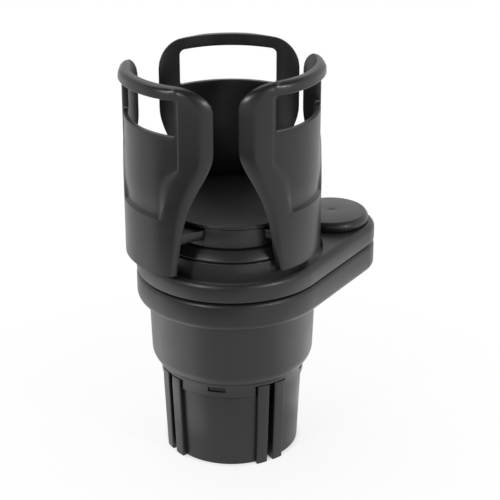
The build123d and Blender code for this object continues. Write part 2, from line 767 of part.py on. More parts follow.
# Hub ring: bed that the rails slide on, and three blocks that guide their sides
with BuildPart() as hub_ring:
    with BuildSketch(Plane.XY.offset(hub_flange_top_z)):
        Circle(hub_ring_radius - shadow_gap_depth)
    extrude(amount=shadow_gap_height)
    with BuildSketch(Plane.XY.offset(hub_flange_top_z + shadow_gap_height)):
        Circle(hub_ring_radius)
    extrude(amount=hub_rail_bed_z - hub_flange_top_z - shadow_gap_height)
    with BuildSketch(Plane.XY.offset(hub_rail_bed_z)):
        Circle(hub_ring_radius)
        for turn in claw_turns:
            with Locations(Location((*at(hub_ring_radius / 2, turn), 0), (0, 0, turn))):
                Rectangle(hub_ring_radius + wall, 2 * channel_half_width, mode=Mode.SUBTRACT)
    extrude(amount=block_height)
    # The bed stands back under the mouth of each channel
    for turn in claw_turns:
        with BuildSketch(Plane.XY.offset(hub_flange_top_z + shadow_gap_height)):
            with Locations(Location((*at(hub_ring_radius, turn), 0), (0, 0, turn))):
                Rectangle(hub_ring_radius, 2 * channel_half_width)
            Circle(hub_channel_radius, mode=Mode.SUBTRACT)
        extrude(amount=hub_rail_bed_z - hub_flange_top_z - shadow_gap_height, mode=Mode.SUBTRACT)
    # Studs that stop the rails, screw holes and seats for the floor's bosses
    with BuildSketch(Plane.XY.offset(hub_rail_bed_z)):
        with Locations(*[at(stop_stud_distance, turn) for turn in claw_turns]):
            Circle(stop_stud_radius)
    extrude(amount=rail_top_z - hub_rail_bed_z - sliding_gap)
    with BuildSketch(Plane.XY.offset(hub_flange_top_z)):
        with Locations(*[at(hub_screw_distance, turn) for turn in block_turns]):
            Circle(hub_screw_radius + screw_clearance)
    extrude(amount=block_top_z - hub_flange_top_z, mode=Mode.SUBTRACT)
    with BuildSketch(Plane.XY.offset(block_top_z)):
        with Locations(*[at(hub_screw_distance, turn) for turn in block_turns]):
            Circle(floor_boss_radius)
    extrude(amount=-floor_boss_length, mode=Mode.SUBTRACT)
save(hub_ring.part, "hub_ring")

# Floor of the upper cup, with bosses that take the hub screws
with BuildPart() as cup_floor:
    with BuildSketch(Plane.XZ):
        with BuildLine():
            Polyline(
                (0, block_top_z),
                (hub_ring_radius - shadow_gap_depth, block_top_z),
                (hub_ring_radius - shadow_gap_depth, block_top_z + shadow_gap_height),
                (floor_disc_radius, block_top_z + shadow_gap_height),
                (floor_disc_radius, floor_disc_top_z),
                (0, floor_disc_top_z),
                close=True,
            )
        make_face()
    revolve(axis=Axis.Z)
    fillet(cup_floor.edges().group_by(Axis.Z)[-1], radius=floor_disc_round)
    with BuildSketch(Plane.XY.offset(block_top_z)):
        with Locations(*[at(hub_screw_distance, turn) for turn in block_turns]):
            Circle(floor_boss_radius)
    extrude(amount=-floor_boss_length)
    with BuildSketch(Plane.XY.offset(block_top_z - floor_boss_length)):
        with Locations(*[at(hub_screw_distance, turn) for turn in block_turns]):
            Circle(hub_screw_radius + screw_clearance)
    extrude(amount=hub_screw_top_z - block_top_z + floor_boss_length, mode=Mode.SUBTRACT)
save(cup_floor.part, "cup_floor")

with BuildPart() as hub_screws:
    with Locations(*[(*at(hub_screw_distance, turn), hub_screw_bottom_z) for turn in block_turns]):
        Cylinder(
            hub_screw_radius,
            hub_screw_top_z - hub_screw_bottom_z,
            align=(Align.CENTER, Align.CENTER, Align.MIN),
        )
        Cylinder(
            hub_screw_head_radius,
            hub_screw_head_height,
            align=(Align.CENTER, Align.CENTER, Align.MAX),
        )
    fillet(hub_screws.edges().group_by(Axis.Z)[0], radius=hub_screw_head_height / 3)
save(hub_screws.part, "hub_screws")

# Claw of the upper cup, modelled in the direction +X with its own axis on the origin.
# The recess in its outer face is cut with this tool: a shield between the window and the crease.
with BuildPart() as panel_tool:
    with BuildSketch(Plane.XY.offset(panel_crease_z)):
        Circle(claw_outer_radius + 2 * rim_proud)
        Circle(claw_outer_radius - panel_depth, mode=Mode.SUBTRACT)
    extrude(amount=rim_bottom_z - panel_crease_z)
    with BuildSketch(Plane.YZ):
        with BuildLine():
            Polyline(
                (panel_crease_half_width, panel_crease_z),
                (panel_half_width, panel_waist_z),
                (panel_half_width, rim_bottom_z),
                (-panel_half_width, rim_bottom_z),
                (-panel_half_width, panel_waist_z),
                (-panel_crease_half_width, panel_crease_z),
                close=True,
            )
        make_face()
    extrude(amount=2 * claw_outer_radius, mode=Mode.INTERSECT)

with BuildPart() as claw:
    # Curved wall with its rolled rim
    with BuildSketch(radial_plane(-claw_blank_sweep / 2)):
        with BuildLine():
            Polyline(
                (claw_inner_radius, claw_bottom_z),
                (claw_outer_radius, claw_bottom_z),
                (claw_outer_radius, rim_bottom_z),
                (claw_outer_radius + rim_proud, rim_bottom_z),
                (claw_outer_radius + rim_proud, claw_top_z),
                (claw_inner_radius, claw_top_z),
                close=True,
            )
        rim_profile = make_face()
        fillet(rim_profile.vertices().group_by(Axis.Y)[-1].sort_by(Axis.X)[-1], radius=rim_outer_round)
        fillet(vertices().group_by(Axis.Y)[-1].sort_by(Axis.X)[0], radius=rim_inner_round)
        fillet(vertices().group_by(Axis.X)[-1].sort_by(Axis.Y)[0], radius=rim_under_round)
    revolve(axis=Axis.Z, revolution_arc=claw_blank_sweep)
    # Outline seen along the direction of travel: narrow foot, wide shoulders, round corners
    with BuildSketch(Plane.YZ):
        with BuildLine():
            Line((0, claw_bottom_z), (claw_foot_half_width, claw_bottom_z))
            Line((claw_foot_half_width, claw_bottom_z), (claw_ankle_half_width, claw_ankle_z))
            Spline(
                (claw_ankle_half_width, claw_ankle_z),
                (claw_waist_half_width, claw_waist_z),
                (claw_half_width, claw_shoulder_z),
                tangents=[(0.1, 1.0), (0.0, 1.0)],
            )
            Line((claw_half_width, claw_shoulder_z), (claw_half_width, claw_top_z - claw_top_corner))
            RadiusArc(
                (claw_half_width, claw_top_z - claw_top_corner),
                (claw_half_width - claw_top_corner, claw_top_z),
                -claw_top_corner,
            )
            Line((claw_half_width - claw_top_corner, claw_top_z), (0, claw_top_z))
            mirror(about=Plane.YZ)
        make_face()
    extrude(amount=2 * claw_outer_radius, mode=Mode.INTERSECT)
    # Rounded outer edges from the foot up to the rim
    flank_edges = claw.edges().filter_by(
        lambda edge: edge.geom_type != GeomType.CIRCLE
        and abs(edge.position_at(0.5).Y) >= claw_foot_half_width
        and edge.position_at(0.5).Z < rim_bottom_z
        and all(
            abs(hypot(edge.position_at(part).X, edge.position_at(part).Y) - claw_outer_radius) < 0.01
            for part in (0.0, 0.5, 1.0)
        )
    )
    fillet(flank_edges, radius=claw_edge_round)
    # Recessed panel and the window above it
    add(panel_tool.part, mode=Mode.SUBTRACT)
    with BuildSketch(Plane.YZ):
        with Locations((0, (window_bottom_z + rim_bottom_z) / 2)):
            Rectangle(2 * window_half_width, rim_bottom_z - window_bottom_z)
        fillet(vertices().group_by(Axis.Y)[-1], radius=claw_window_top_corner)
        fillet(vertices().group_by(Axis.Y)[0], radius=claw_window_foot_corner)
    extrude(amount=2 * claw_outer_radius, mode=Mode.SUBTRACT)
    # Flat rail that slides in the hub, with the slot for the stop stud
    with BuildSketch(Plane.XY.offset(rail_bottom_z)):
        with Locations((rail_inner_distance, 0)):
            Rectangle(claw_outer_radius, 2 * rail_half_width, align=(Align.MIN, Align.CENTER))
        Circle(claw_outer_radius - claw_wall / 2, mode=Mode.INTERSECT)
        slot_far = stop_stud_distance + rail_stop_clearance
        slot_near = stop_stud_distance - claw_travel - rail_stop_clearance
        with Locations(((slot_far + slot_near) / 2, 0)):
            SlotCenterToCenter(
                slot_far - slot_near,
                2 * (stop_stud_radius + rail_stop_clearance),
                mode=Mode.SUBTRACT,
            )
    extrude(amount=rail_thickness)

claw_sides = ["back", "left", "right"]
claw_reaches = [0.0, left_claw_pulled_out, 0.0]
for side, turn, reach in zip(claw_sides, claw_turns, claw_reaches):
    with BuildPart() as placed_claw:
        with Locations(Location((*at(reach, turn), 0), (0, 0, turn))):
            add(claw.part)
    save(placed_claw.part, f"cup_claw_{side}")

# Leaf spring that presses on a rail, so that the claw stays where it is set
spring_low_z = rail_top_z + sliding_gap
spring_high_z = block_top_z - spring_seat_gap - spring_thickness
with BuildPart() as rail_spring:
    with BuildSketch(Plane.YZ.offset(spring_distance - spring_width / 2)):
        with BuildLine():
            ThreePointArc(
                (-spring_half_length, spring_low_z),
                (0, spring_high_z),
                (spring_half_length, spring_low_z),
            )
            ThreePointArc(
                (-spring_half_length, spring_low_z + spring_thickness),
                (0, spring_high_z + spring_thickness),
                (spring_half_length, spring_low_z + spring_thickness),
            )
            for end in (-spring_half_length, spring_half_length):
                Line((end, spring_low_z), (end, spring_low_z + spring_thickness))
        make_face()
    extrude(amount=spring_width)

for side, turn in zip(claw_sides, claw_turns):
    with BuildPart() as placed_spring:
        with Locations(Location((0, 0, 0), (0, 0, turn))):
            add(rail_spring.part)
    save(placed_spring.part, f"rail_spring_{side}")
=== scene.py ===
"""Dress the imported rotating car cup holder: moulded shells, fixings, finishes and a studio.

Every size is in millimetres until a piece is finished, and every piece stays in the frame of the
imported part: +Z up, the cup's axis on the origin and the swing pivot on +X.
"""

import logging
from collections.abc import Callable, Iterable
from dataclasses import dataclass, field
from enum import Enum
from math import acos, atan2, cos, hypot, pi, radians, sin, sqrt

import bmesh
import bpy
from bmesh.types import BMEdge as Edge, BMFace as Face, BMVert as Vert
from bpy.types import Node, NodeSocket as Socket, Object
from mathutils import Matrix, Vector


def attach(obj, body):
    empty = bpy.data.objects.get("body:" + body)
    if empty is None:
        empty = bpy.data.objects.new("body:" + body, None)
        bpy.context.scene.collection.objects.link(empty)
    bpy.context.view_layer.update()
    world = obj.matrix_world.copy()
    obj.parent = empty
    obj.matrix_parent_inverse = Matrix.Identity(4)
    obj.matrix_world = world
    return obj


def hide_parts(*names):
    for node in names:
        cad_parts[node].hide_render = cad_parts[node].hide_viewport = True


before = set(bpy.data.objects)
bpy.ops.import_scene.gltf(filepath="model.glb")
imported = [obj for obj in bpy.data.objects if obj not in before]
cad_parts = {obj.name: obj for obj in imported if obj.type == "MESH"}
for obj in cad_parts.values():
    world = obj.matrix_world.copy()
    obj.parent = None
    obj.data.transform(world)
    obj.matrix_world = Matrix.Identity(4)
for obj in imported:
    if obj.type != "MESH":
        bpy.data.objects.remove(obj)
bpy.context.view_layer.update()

LOG = logging.getLogger("cup_holder")
METRE = 0.001
RING_STEPS = 144
TOLERANCE = 0.02
SHARP_ANGLE = radians(32.0)
WELD = 0.001
ARC_STEP = 2.5
OVER = 1.0

Pair = tuple[float, float]
Triple = tuple[float, float, float]
Feed = float | tuple[float, ...] | Socket


class Join(Enum):
    """How one solid acts on another."""

    ADD = "UNION"
    CUT = "DIFFERENCE"


class Slot(Enum):
    """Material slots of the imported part."""

    HOUSING = "housing_plastic"
    SEGMENT = "segment_plastic"
    CLAW = "claw_plastic"
    INNER = "inner_plastic"
    CAP = "cap_plastic"
    STEEL = "steel"
    WASHER = "washer_plastic"


class Solid:
    """One closed shape under construction, in millimetres."""

    def __init__(self) -> None:
        """Start with an empty mesh."""
        self.bm = bmesh.new()

    def turn_profile(self, points: list[Pair], closed: bool = False, centre: float = 0.0) -> "Solid":
        """Turn a profile all the way round an upright axis.

        Args:
            points: radius and height of each corner, from the axis or round a ring.
            closed: whether the last corner joins the first one.
            centre: x of the upright axis.

        Returns:
            This solid.
        """
        verts = [self.bm.verts.new((centre + radius, 0.0, height)) for radius, height in points]
        pairs = list(zip(verts, verts[1:]))
        if closed:
            pairs.append((verts[-1], verts[0]))
        edges = [self.bm.edges.new(pair) for pair in pairs]
        bmesh.ops.spin(
            self.bm,
            geom=verts + edges,
            cent=(centre, 0.0, 0.0),
            axis=(0.0, 0.0, 1.0),
            angle=2 * pi,
            steps=RING_STEPS,
            use_merge=True,
        )
        bmesh.ops.remove_doubles(self.bm, verts=self.bm.verts, dist=WELD)
        return self.face_outwards()

    def stack(self, low: float, *steps: Pair) -> "Solid":
        """Turn a stack of round steps on the cup's axis.

        Args:
            low: height of the lowest face.
            steps: radius and upper height of each step, from below.

        Returns:
            This solid.
        """
        profile = [(0.0, low)]
        for radius, high in steps:
            profile += [(radius, low), (radius, high)]
            low = high
        return self.turn_profile([*profile, (0.0, low)])

    def ring(self, inner: float, outer: float, low: float, high: float) -> "Solid":
        """Turn a ring with upright walls on the cup's axis and return this solid."""
        return self.turn_profile([(inner, low), (outer, low), (outer, high), (inner, high)], closed=True)

    def sweep_profile(self, points: list[Pair], start: float, sweep: float) -> "Solid":
        """Turn a closed profile part of the way round the cup's axis.

        Args:
            points: radius and height of each corner.
            start: angle at which the profile starts, in degrees.
            sweep: angle that it is turned by, in degrees.

        Returns:
            This solid.
        """
        verts = [self.bm.verts.new((radius, 0.0, height)) for radius, height in points]
        bmesh.ops.rotate(self.bm, verts=verts, cent=(0, 0, 0), matrix=Matrix.Rotation(radians(start), 3, "Z"))
        face = self.bm.faces.new(verts)
        bmesh.ops.spin(
            self.bm,
            geom=[face, *face.edges, *face.verts],
            cent=(0.0, 0.0, 0.0),
            axis=(0.0, 0.0, 1.0),
            angle=radians(sweep),
            steps=max(4, round(sweep / ARC_STEP)),
            use_merge=False,
        )
        return self.face_outwards()

    def disc(self, radius: float, low: float, high: float, centre: Pair = (0.0, 0.0)) -> "Solid":
        """Add an upright round prism.

        Args:
            radius: radius of the prism.
            low: height of its lower face.
            high: height of its upper face.
            centre: x and y of its axis.

        Returns:
            This solid.
        """
        bmesh.ops.create_cone(
            self.bm,
            cap_ends=True,
            segments=RING_STEPS if radius > 12 else RING_STEPS // 3,
            radius1=radius,
            radius2=radius,
            depth=high - low,
            matrix=Matrix.Translation((*centre, (low + high) / 2)),
        )
        return self

    def block(self, low: Triple, high: Triple, turn: float = 0.0) -> "Solid":
        """Add a box, turned about the cup's axis.

        Args:
            low: lowest corner before it is turned.
            high: highest corner before it is turned.
            turn: angle about the cup's axis, in degrees.

        Returns:
            This solid.
        """
        middle = (Vector(low) + Vector(high)) / 2
        size = Vector(high) - Vector(low)
        place = Matrix.Rotation(radians(turn), 4, "Z") @ Matrix.Translation(middle) @ Matrix.Diagonal((*size, 1.0))
        bmesh.ops.create_cube(self.bm, size=1.0, matrix=place)
        return self

    def pear(self, big: float, small: float, distance: float, low: float, high: float) -> "Solid":
        """Add an upright prism whose outline joins two circles by straight sides.

        Args:
            big: radius of the circle on the cup's axis.
            small: radius of the circle at the other end.
            distance: distance between the two centres.
            low: height of the lower face.
            high: height of the upper face.

        Returns:
            This solid.
        """
        lean = acos((big - small) / distance)
        first = self.bm.verts.new((big * cos(lean), big * sin(lean), low))
        self._arc(first, (0.0, 0.0, low), 2 * (pi - lean), RING_STEPS * 2 // 3)
        second = self.bm.verts.new((distance + small * cos(lean), -small * sin(lean), low))
        self._arc(second, (distance, 0.0, low), 2 * lean, RING_STEPS // 3)
        ends = [v for v in self.bm.verts if len(v.link_edges) == 1]
        upper = [v for v in ends if v.co.y > 0]
        lower = [v for v in ends if v.co.y < 0]
        self.bm.edges.new(upper)
        self.bm.edges.new(lower)
        outline = bmesh.ops.contextual_create(self.bm, geom=self.bm.edges[:])["faces"]
        bmesh.ops.translate(self.bm, verts=self.extrude(outline, keep=True), vec=(0.0, 0.0, high - low))
        return self.face_outwards()

    def _arc(self, start: Vert, centre: Triple, angle: float, steps: int) -> None:
        """Draw an arc of edges from one vertex about an upright axis."""
        bmesh.ops.spin(self.bm, geom=[start], cent=centre, axis=(0, 0, 1), angle=angle, steps=steps)

    def extrude(self, faces: list[Face], keep: bool) -> list[Vert]:
        """Extrude faces in place, keep the old ones if asked, and return the new corners."""
        raised = bmesh.ops.extrude_face_region(self.bm, geom=faces, use_keep_orig=keep)["geom"]
        return [item for item in raised if isinstance(item, Vert)]

    def face_outwards(self) -> "Solid":
        """Turn every face outwards and return this solid."""
        bmesh.ops.recalc_face_normals(self.bm, faces=self.bm.faces)
        return self

    def soften(self, pick: Callable[[Edge], bool], width: float, segments: int = 4) -> "Solid":
        """Round the edges that a test picks out.

        Args:
            pick: test that is true for the edges to round.
            width: distance from the edge at which the rounding starts.
            segments: number of steps in the rounding.

        Returns:
            This solid.
        """
        edges = [edge for edge in self.bm.edges if len(edge.link_faces) == 2 and pick(edge)]
        bmesh.ops.bevel(
            self.bm,
            geom=edges,
            offset=width,
            offset_type="OFFSET",
            affect="EDGES",
            segments=segments,
            profile=0.5,
            material=-1,
            clamp_overlap=True,
        )
        return self

    def soften_where(self, test: Callable[[Vector], bool], width: float, segments: int = 4) -> "Solid":
        """Round the sharp edges whose two ends pass a test of their place.

        Args:
            test: test that is true for the ends of the edges to round.
            width: distance from the edge at which the rounding starts.
            segments: number of steps in the rounding.

        Returns:
            This solid.
        """
        return self.soften(lambda edge: is_sharp(edge) and all(test(v.co) for v in edge.verts), width, segments)

    def soften_level(self, height: float, width: float, segments: int = 4) -> "Solid":
        """Round the sharp edges that lie at one height and return this solid."""
        return self.soften_where(lambda place: close(place.z, height), width, segments)

    def soften_all(self, width: float, segments: int = 2) -> "Solid":
        """Round every sharp edge by the same width and return this solid."""
        return self.soften(is_sharp, width, segments)

    def place(self, matrix: Matrix) -> "Solid":
        """Move the whole solid and return it."""
        bmesh.ops.transform(self.bm, matrix=matrix, verts=self.bm.verts)
        return self

    def as_object(self, name: str = "tool") -> Object:
        """Put the shape into a new object, still in millimetres.

        Args:
            name: name of the object.

        Returns:
            The new object, linked to the scene.
        """
        mesh = bpy.data.meshes.new(name)
        self.bm.to_mesh(mesh)
        self.bm.free()
        piece = bpy.data.objects.new(name, mesh)
        bpy.context.scene.collection.objects.link(piece)
        return piece


def close(first: float, second: float) -> bool:
    """Tell whether two sizes are the same to the tolerance."""
    return abs(first - second) < TOLERANCE


def at_height(edge: Edge, height: float) -> bool:
    """Tell whether both ends of an edge lie at one height."""
    return all(close(vert.co.z, height) for vert in edge.verts)


def is_sharp(edge: Edge) -> bool:
    """Tell whether two faces meet at an edge with a visible corner."""
    return len(edge.link_faces) == 2 and edge.calc_face_angle(0.0) > SHARP_ANGLE


def turned(angle: float) -> Matrix:
    """Give the turn about the cup's axis, in degrees, as a matrix."""
    return Matrix.Rotation(radians(angle), 4, "Z")


def shifted(reach: float, angle: float) -> Matrix:
    """Give the move by reach in the direction angle, with the turn to that direction."""
    return Matrix.Translation((reach * cos(radians(angle)), reach * sin(radians(angle)), 0.0)) @ turned(angle)


def remove(piece: Object) -> None:
    """Delete an object with its mesh."""
    mesh = piece.data
    bpy.data.objects.remove(piece)
    bpy.data.meshes.remove(mesh)


def combine(piece: Object, how: Join, *tools: Solid) -> None:
    """Unite a piece with solids, or cut it by them.

    Args:
        piece: object that is changed.
        how: what each solid does to the piece.
        tools: solids that act on it in turn and are used up.
    """
    for tool in tools:
        other = tool.as_object()
        modifier = piece.modifiers.new("combine", "BOOLEAN")
        modifier.operation = how.value
        modifier.solver = "EXACT"
        modifier.use_self = True
        modifier.object = other
        bpy.context.view_layer.update()
        graph = bpy.context.evaluated_depsgraph_get()
        result = bpy.data.meshes.new_from_object(piece.evaluated_get(graph))
        piece.modifiers.clear()
        old = piece.data
        piece.data = result
        bpy.data.meshes.remove(old)
        remove(other)


def join_solids(name: str, solids: Iterable[Solid]) -> Object:
    """Put several closed solids into one object.

    Args:
        name: name of the object.
        solids: solids that are used up.

    Returns:
        The object that holds them all, in millimetres.
    """
    whole = bmesh.new()
    for solid in solids:
        part = bpy.data.meshes.new("part")
        solid.bm.to_mesh(part)
        solid.bm.free()
        whole.from_mesh(part)
        bpy.data.meshes.remove(part)
    joined = Solid()
    joined.bm.free()
    joined.bm = whole
    return joined.as_object(name)


class Nodes:
    """Node tree of a material or of the world, with a short call for each kind of node in use."""

    def __init__(self, owner: bpy.types.Material | bpy.types.World) -> None:
        """Switch on the owner's node tree and add its texture coordinates.

        Args:
            owner: material or world that the nodes belong to.
        """
        owner.use_nodes = True
        self.tree = owner.node_tree
        self.coordinates = self.add("TexCoord")
        self.place = self.coordinates.outputs["Object"]

    def feed(self, name: str, inputs: dict[str, Feed]) -> Node:
        """Feed a node that the tree starts with, and return it."""
        return self._fill(self.tree.nodes[name], inputs)

    def add(self, kind: str, inputs: dict[str | int, Feed] | None = None) -> Node:
        """Add a node and feed it.

        Args:
            kind: kind of the node.
            inputs: what each input gets, by its name or number.

        Returns:
            The new node.
        """
        return self._fill(self.tree.nodes.new(f"ShaderNode{kind}"), inputs or {})

    def _fill(self, node: Node, inputs: dict[str | int, Feed]) -> Node:
        """Link each input to its socket, or set its number or colour.

        Args:
            node: node that is fed.
            inputs: what each input gets, by its name or number.

        Returns:
            The same node.
        """
        for name, value in inputs.items():
            if isinstance(value, Socket):
                self.tree.links.new(value, node.inputs[name])
            else:
                node.inputs[name].default_value = value
        return node

    def noise(self, scale: float, detail: float = 2.0, place: Feed | None = None) -> Socket:
        """Add a noise pattern that sits on the object.

        Args:
            scale: number of patches to the metre.
            detail: number of finer layers.
            place: coordinates, if not the object's own.

        Returns:
            The socket with the pattern's value.
        """
        inputs = {"Scale": scale, "Detail": detail, "Vector": place or self.place}
        return self.add("TexNoise", inputs).outputs["Fac"]

    def mix(self, share: Feed, first: Feed, second: Feed, way: str = "MIX") -> Socket:
        """Mix two colours.

        Args:
            share: share of the second colour.
            first: first colour.
            second: second colour.
            way: blend type.

        Returns:
            The socket with the mixed colour.
        """
        node = self.add("Mix")
        node.data_type = "RGBA"
        node.blend_type = way
        return self._fill(node, {"Factor": share, "A": first, "B": second}).outputs["Result"]

    def spread(self, value: Feed, ends: Pair, reach: Pair = (0.0, 1.0), smooth: bool = False) -> Socket:
        """Map a value from one range to another.

        Args:
            value: value to map.
            ends: results at the two ends.
            reach: values at the two ends.
            smooth: whether the result eases in and out.

        Returns:
            The socket with the result.
        """
        low, high = reach
        start, end = ends
        inputs = {"Value": value, "From Min": low, "From Max": high, "To Min": start, "To Max": end}
        node = self.add("MapRange", inputs)
        if smooth:
            node.interpolation_type = "SMOOTHSTEP"
        return node.outputs["Result"]

    def math(self, operation: str, first: Feed, second: Feed) -> Socket:
        """Work out one number from two.

        Args:
            operation: name of the operation.
            first: first number.
            second: second number.

        Returns:
            The socket with the result, which an addition stops at 1.
        """
        node = self.add("Math", {0: first, 1: second})
        node.operation = operation
        node.use_clamp = operation == "ADD"
        return node.outputs["Value"]

    def matt(self, scale: float, tones: Pair, roughness: float) -> Node:
        """Feed the shader with a grey that varies between two tones.

        Args:
            scale: number of patches to the metre.
            tones: darkest and lightest tone.
            roughness: roughness of the surface.

        Returns:
            The shader node.
        """
        dark, light = ([tone] * 3 for tone in tones)
        tone = self.mix(self.noise(scale), opaque(dark), opaque(light))
        return self.feed("Principled BSDF", {"Base Color": tone, "Roughness": roughness})

    def measure(self, operation: str, inputs: dict[str | int, Feed]) -> Socket:
        """Work out one number from vectors.

        Args:
            operation: name of the operation.
            inputs: vectors by the number of their input.

        Returns:
            The socket with the result.
        """
        node = self.add("VectorMath", inputs)
        node.operation = operation
        return node.outputs["Value"]


def opaque(colour: Iterable[float]) -> tuple[float, ...]:
    """Give a colour with full alpha."""
    return (*colour, 1.0)


@dataclass(frozen=True)
class Finish:
    """Look of a surface."""

    name: str

    def material(self) -> bpy.types.Material:
        """Give the finish as a material.

        Returns:
            The material, made once and found again by its name.
        """
        made = bpy.data.materials.get(self.name)
        if not made:
            made = bpy.data.materials.new(self.name)
            self._paint(Nodes(made))
        return made

    def _paint(self, nodes: Nodes) -> None:
        """Build the finish in a new material's node tree."""
        raise NotImplementedError


@dataclass(frozen=True)
class Moulded(Finish):
    """Finish of injection-moulded plastic: fine eroded grain, soft sheen and paler edges, partly wear and partly a
    painted highlight.
    """

    colour: Triple
    roughness: float
    index: float = 1.5
    grain: float = 0.35
    relief: float = 0.12
    relief_depth: float = 0.02
    cloud: Pair = (0.86, 1.14)
    cloud_scale: float = 35.0
    smudge: Pair = (-0.05, 0.07)
    smudge_scale: float = 90.0
    # Paler edges: partly wear, partly a painted highlight along the rounded edges.
    wear_and_highlight: float = 0.35
    wear_and_highlight_at: Pair = (0.60, 0.78)
    wear_and_highlight_paler: float = 0.07

    def _paint(self, nodes: Nodes) -> None:
        """Build the finish.

        Args:
            nodes: node tree of the new material.
        """
        shade = nodes.spread(nodes.noise(self.cloud_scale, 3.0), self.cloud)
        tone = nodes.mix(1.0, opaque(self.colour), shade, "MULTIPLY")
        # Pointiness lightens the convex edges: partly wear, partly a painted highlight standing in for reflections in
        # the roundings.
        edge = nodes.spread(nodes.add("NewGeometry").outputs["Pointiness"], (0.0, self.wear_and_highlight), self.wear_and_highlight_at)
        worn_and_highlit = nodes.mix(edge, tone, opaque(self.wear_and_highlight_paler + part for part in self.colour))
        smooth, rough = self.smudge
        gloss = nodes.spread(nodes.noise(self.smudge_scale, 4.0), (self.roughness + smooth, self.roughness + rough))
        grain = nodes.noise(1.0 / (self.grain * METRE))
        depth = self.relief_depth * METRE
        bump = nodes.add("Bump", {"Strength": self.relief, "Distance": depth, "Height": grain})
        inputs = {"Base Color": worn_and_highlit, "Roughness": gloss, "IOR": self.index, "Normal": bump.outputs["Normal"]}
        nodes.feed("Principled BSDF", inputs)


@dataclass(frozen=True)
class PlatedSteel(Finish):
    """Finish of zinc-plated steel: dull metal with faint drawn streaks."""

    name: str = "plated_steel"
    colour: Triple = (0.52, 0.52, 0.5)
    streak_shade: float = 0.72
    streak_scale: float = 420.0
    stretch: float = 14.0
    roughness: Pair = (0.24, 0.44)

    def _paint(self, nodes: Nodes) -> None:
        """Build the finish.

        Args:
            nodes: node tree of the new material.
        """
        drawn = nodes.add("Mapping", {"Vector": nodes.place, "Scale": (1.0, 1.0, self.stretch)})
        streak = nodes.noise(self.streak_scale, place=drawn.outputs["Vector"])
        tint = nodes.mix(streak, opaque(self.colour), opaque(self.streak_shade * part for part in self.colour))
        gloss = nodes.spread(streak, self.roughness)
        nodes.feed("Principled BSDF", {"Base Color": tint, "Roughness": gloss, "Metallic": 1.0})


HOUSING_FINISH = Moulded("housing_satin", (0.008, 0.008, 0.009), 0.38)
SEGMENT_FINISH = Moulded("segment_satin", (0.008, 0.008, 0.009), 0.38)
CLAW_FINISH = Moulded("claw_satin", (0.005, 0.005, 0.006), 0.32)
INNER_FINISH = Moulded("inner_matt", (0.005, 0.005, 0.006), 0.46)
CAP_FINISH = Moulded("cap_gloss", (0.010, 0.010, 0.011), 0.30, grain=0.5, relief=0.06)
WASHER_FINISH = Moulded("washer_natural", (0.55, 0.55, 0.51), 0.5)
STEEL_FINISH = PlatedSteel()


def finish_piece(
    piece: Object,
    finish: Finish,
    body: str,
    nodes: Iterable[str],
) -> None:
    """Bring a piece to metres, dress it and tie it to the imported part.

    Args:
        piece: object in millimetres.
        finish: finish that it gets.
        body: body that it rides on.
        nodes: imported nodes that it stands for.
    """
    shape = bmesh.new()
    shape.from_mesh(piece.data)
    bmesh.ops.scale(shape, vec=(METRE, METRE, METRE), verts=shape.verts)
    for face in shape.faces:
        face.smooth = True
    for edge in shape.edges:
        edge.smooth = not is_sharp(edge)
    shape.to_mesh(piece.data)
    shape.free()
    piece.data.materials.clear()
    piece.data.materials.append(finish.material())
    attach(piece, body)
    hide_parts(*nodes)
    LOG.info("%s: %d faces on %s", piece.name, len(piece.data.polygons), body)


@dataclass(frozen=True)
class PlateOutline:
    """Outline that the two pear-shaped plates share."""

    cup_end: float = 48.0
    pivot_end: float = 22.4
    distance: float = 61.5

    def prism(self, inset: float, low: float, high: float) -> Solid:
        """Build the prism with this outline, drawn in by inset.

        Args:
            inset: how far the outline is drawn in.
            low: height of the lower face.
            high: height of the upper face.

        Returns:
            The solid.
        """
        return Solid().pear(self.cup_end - inset, self.pivot_end - inset, self.distance, low, high)

    def pivot_disc(self, radius: float, low: float, high: float) -> Solid:
        """Build an upright round prism on the pivot's axis."""
        return Solid().disc(radius, low, high, (self.distance, 0.0))


OUTLINE = PlateOutline()


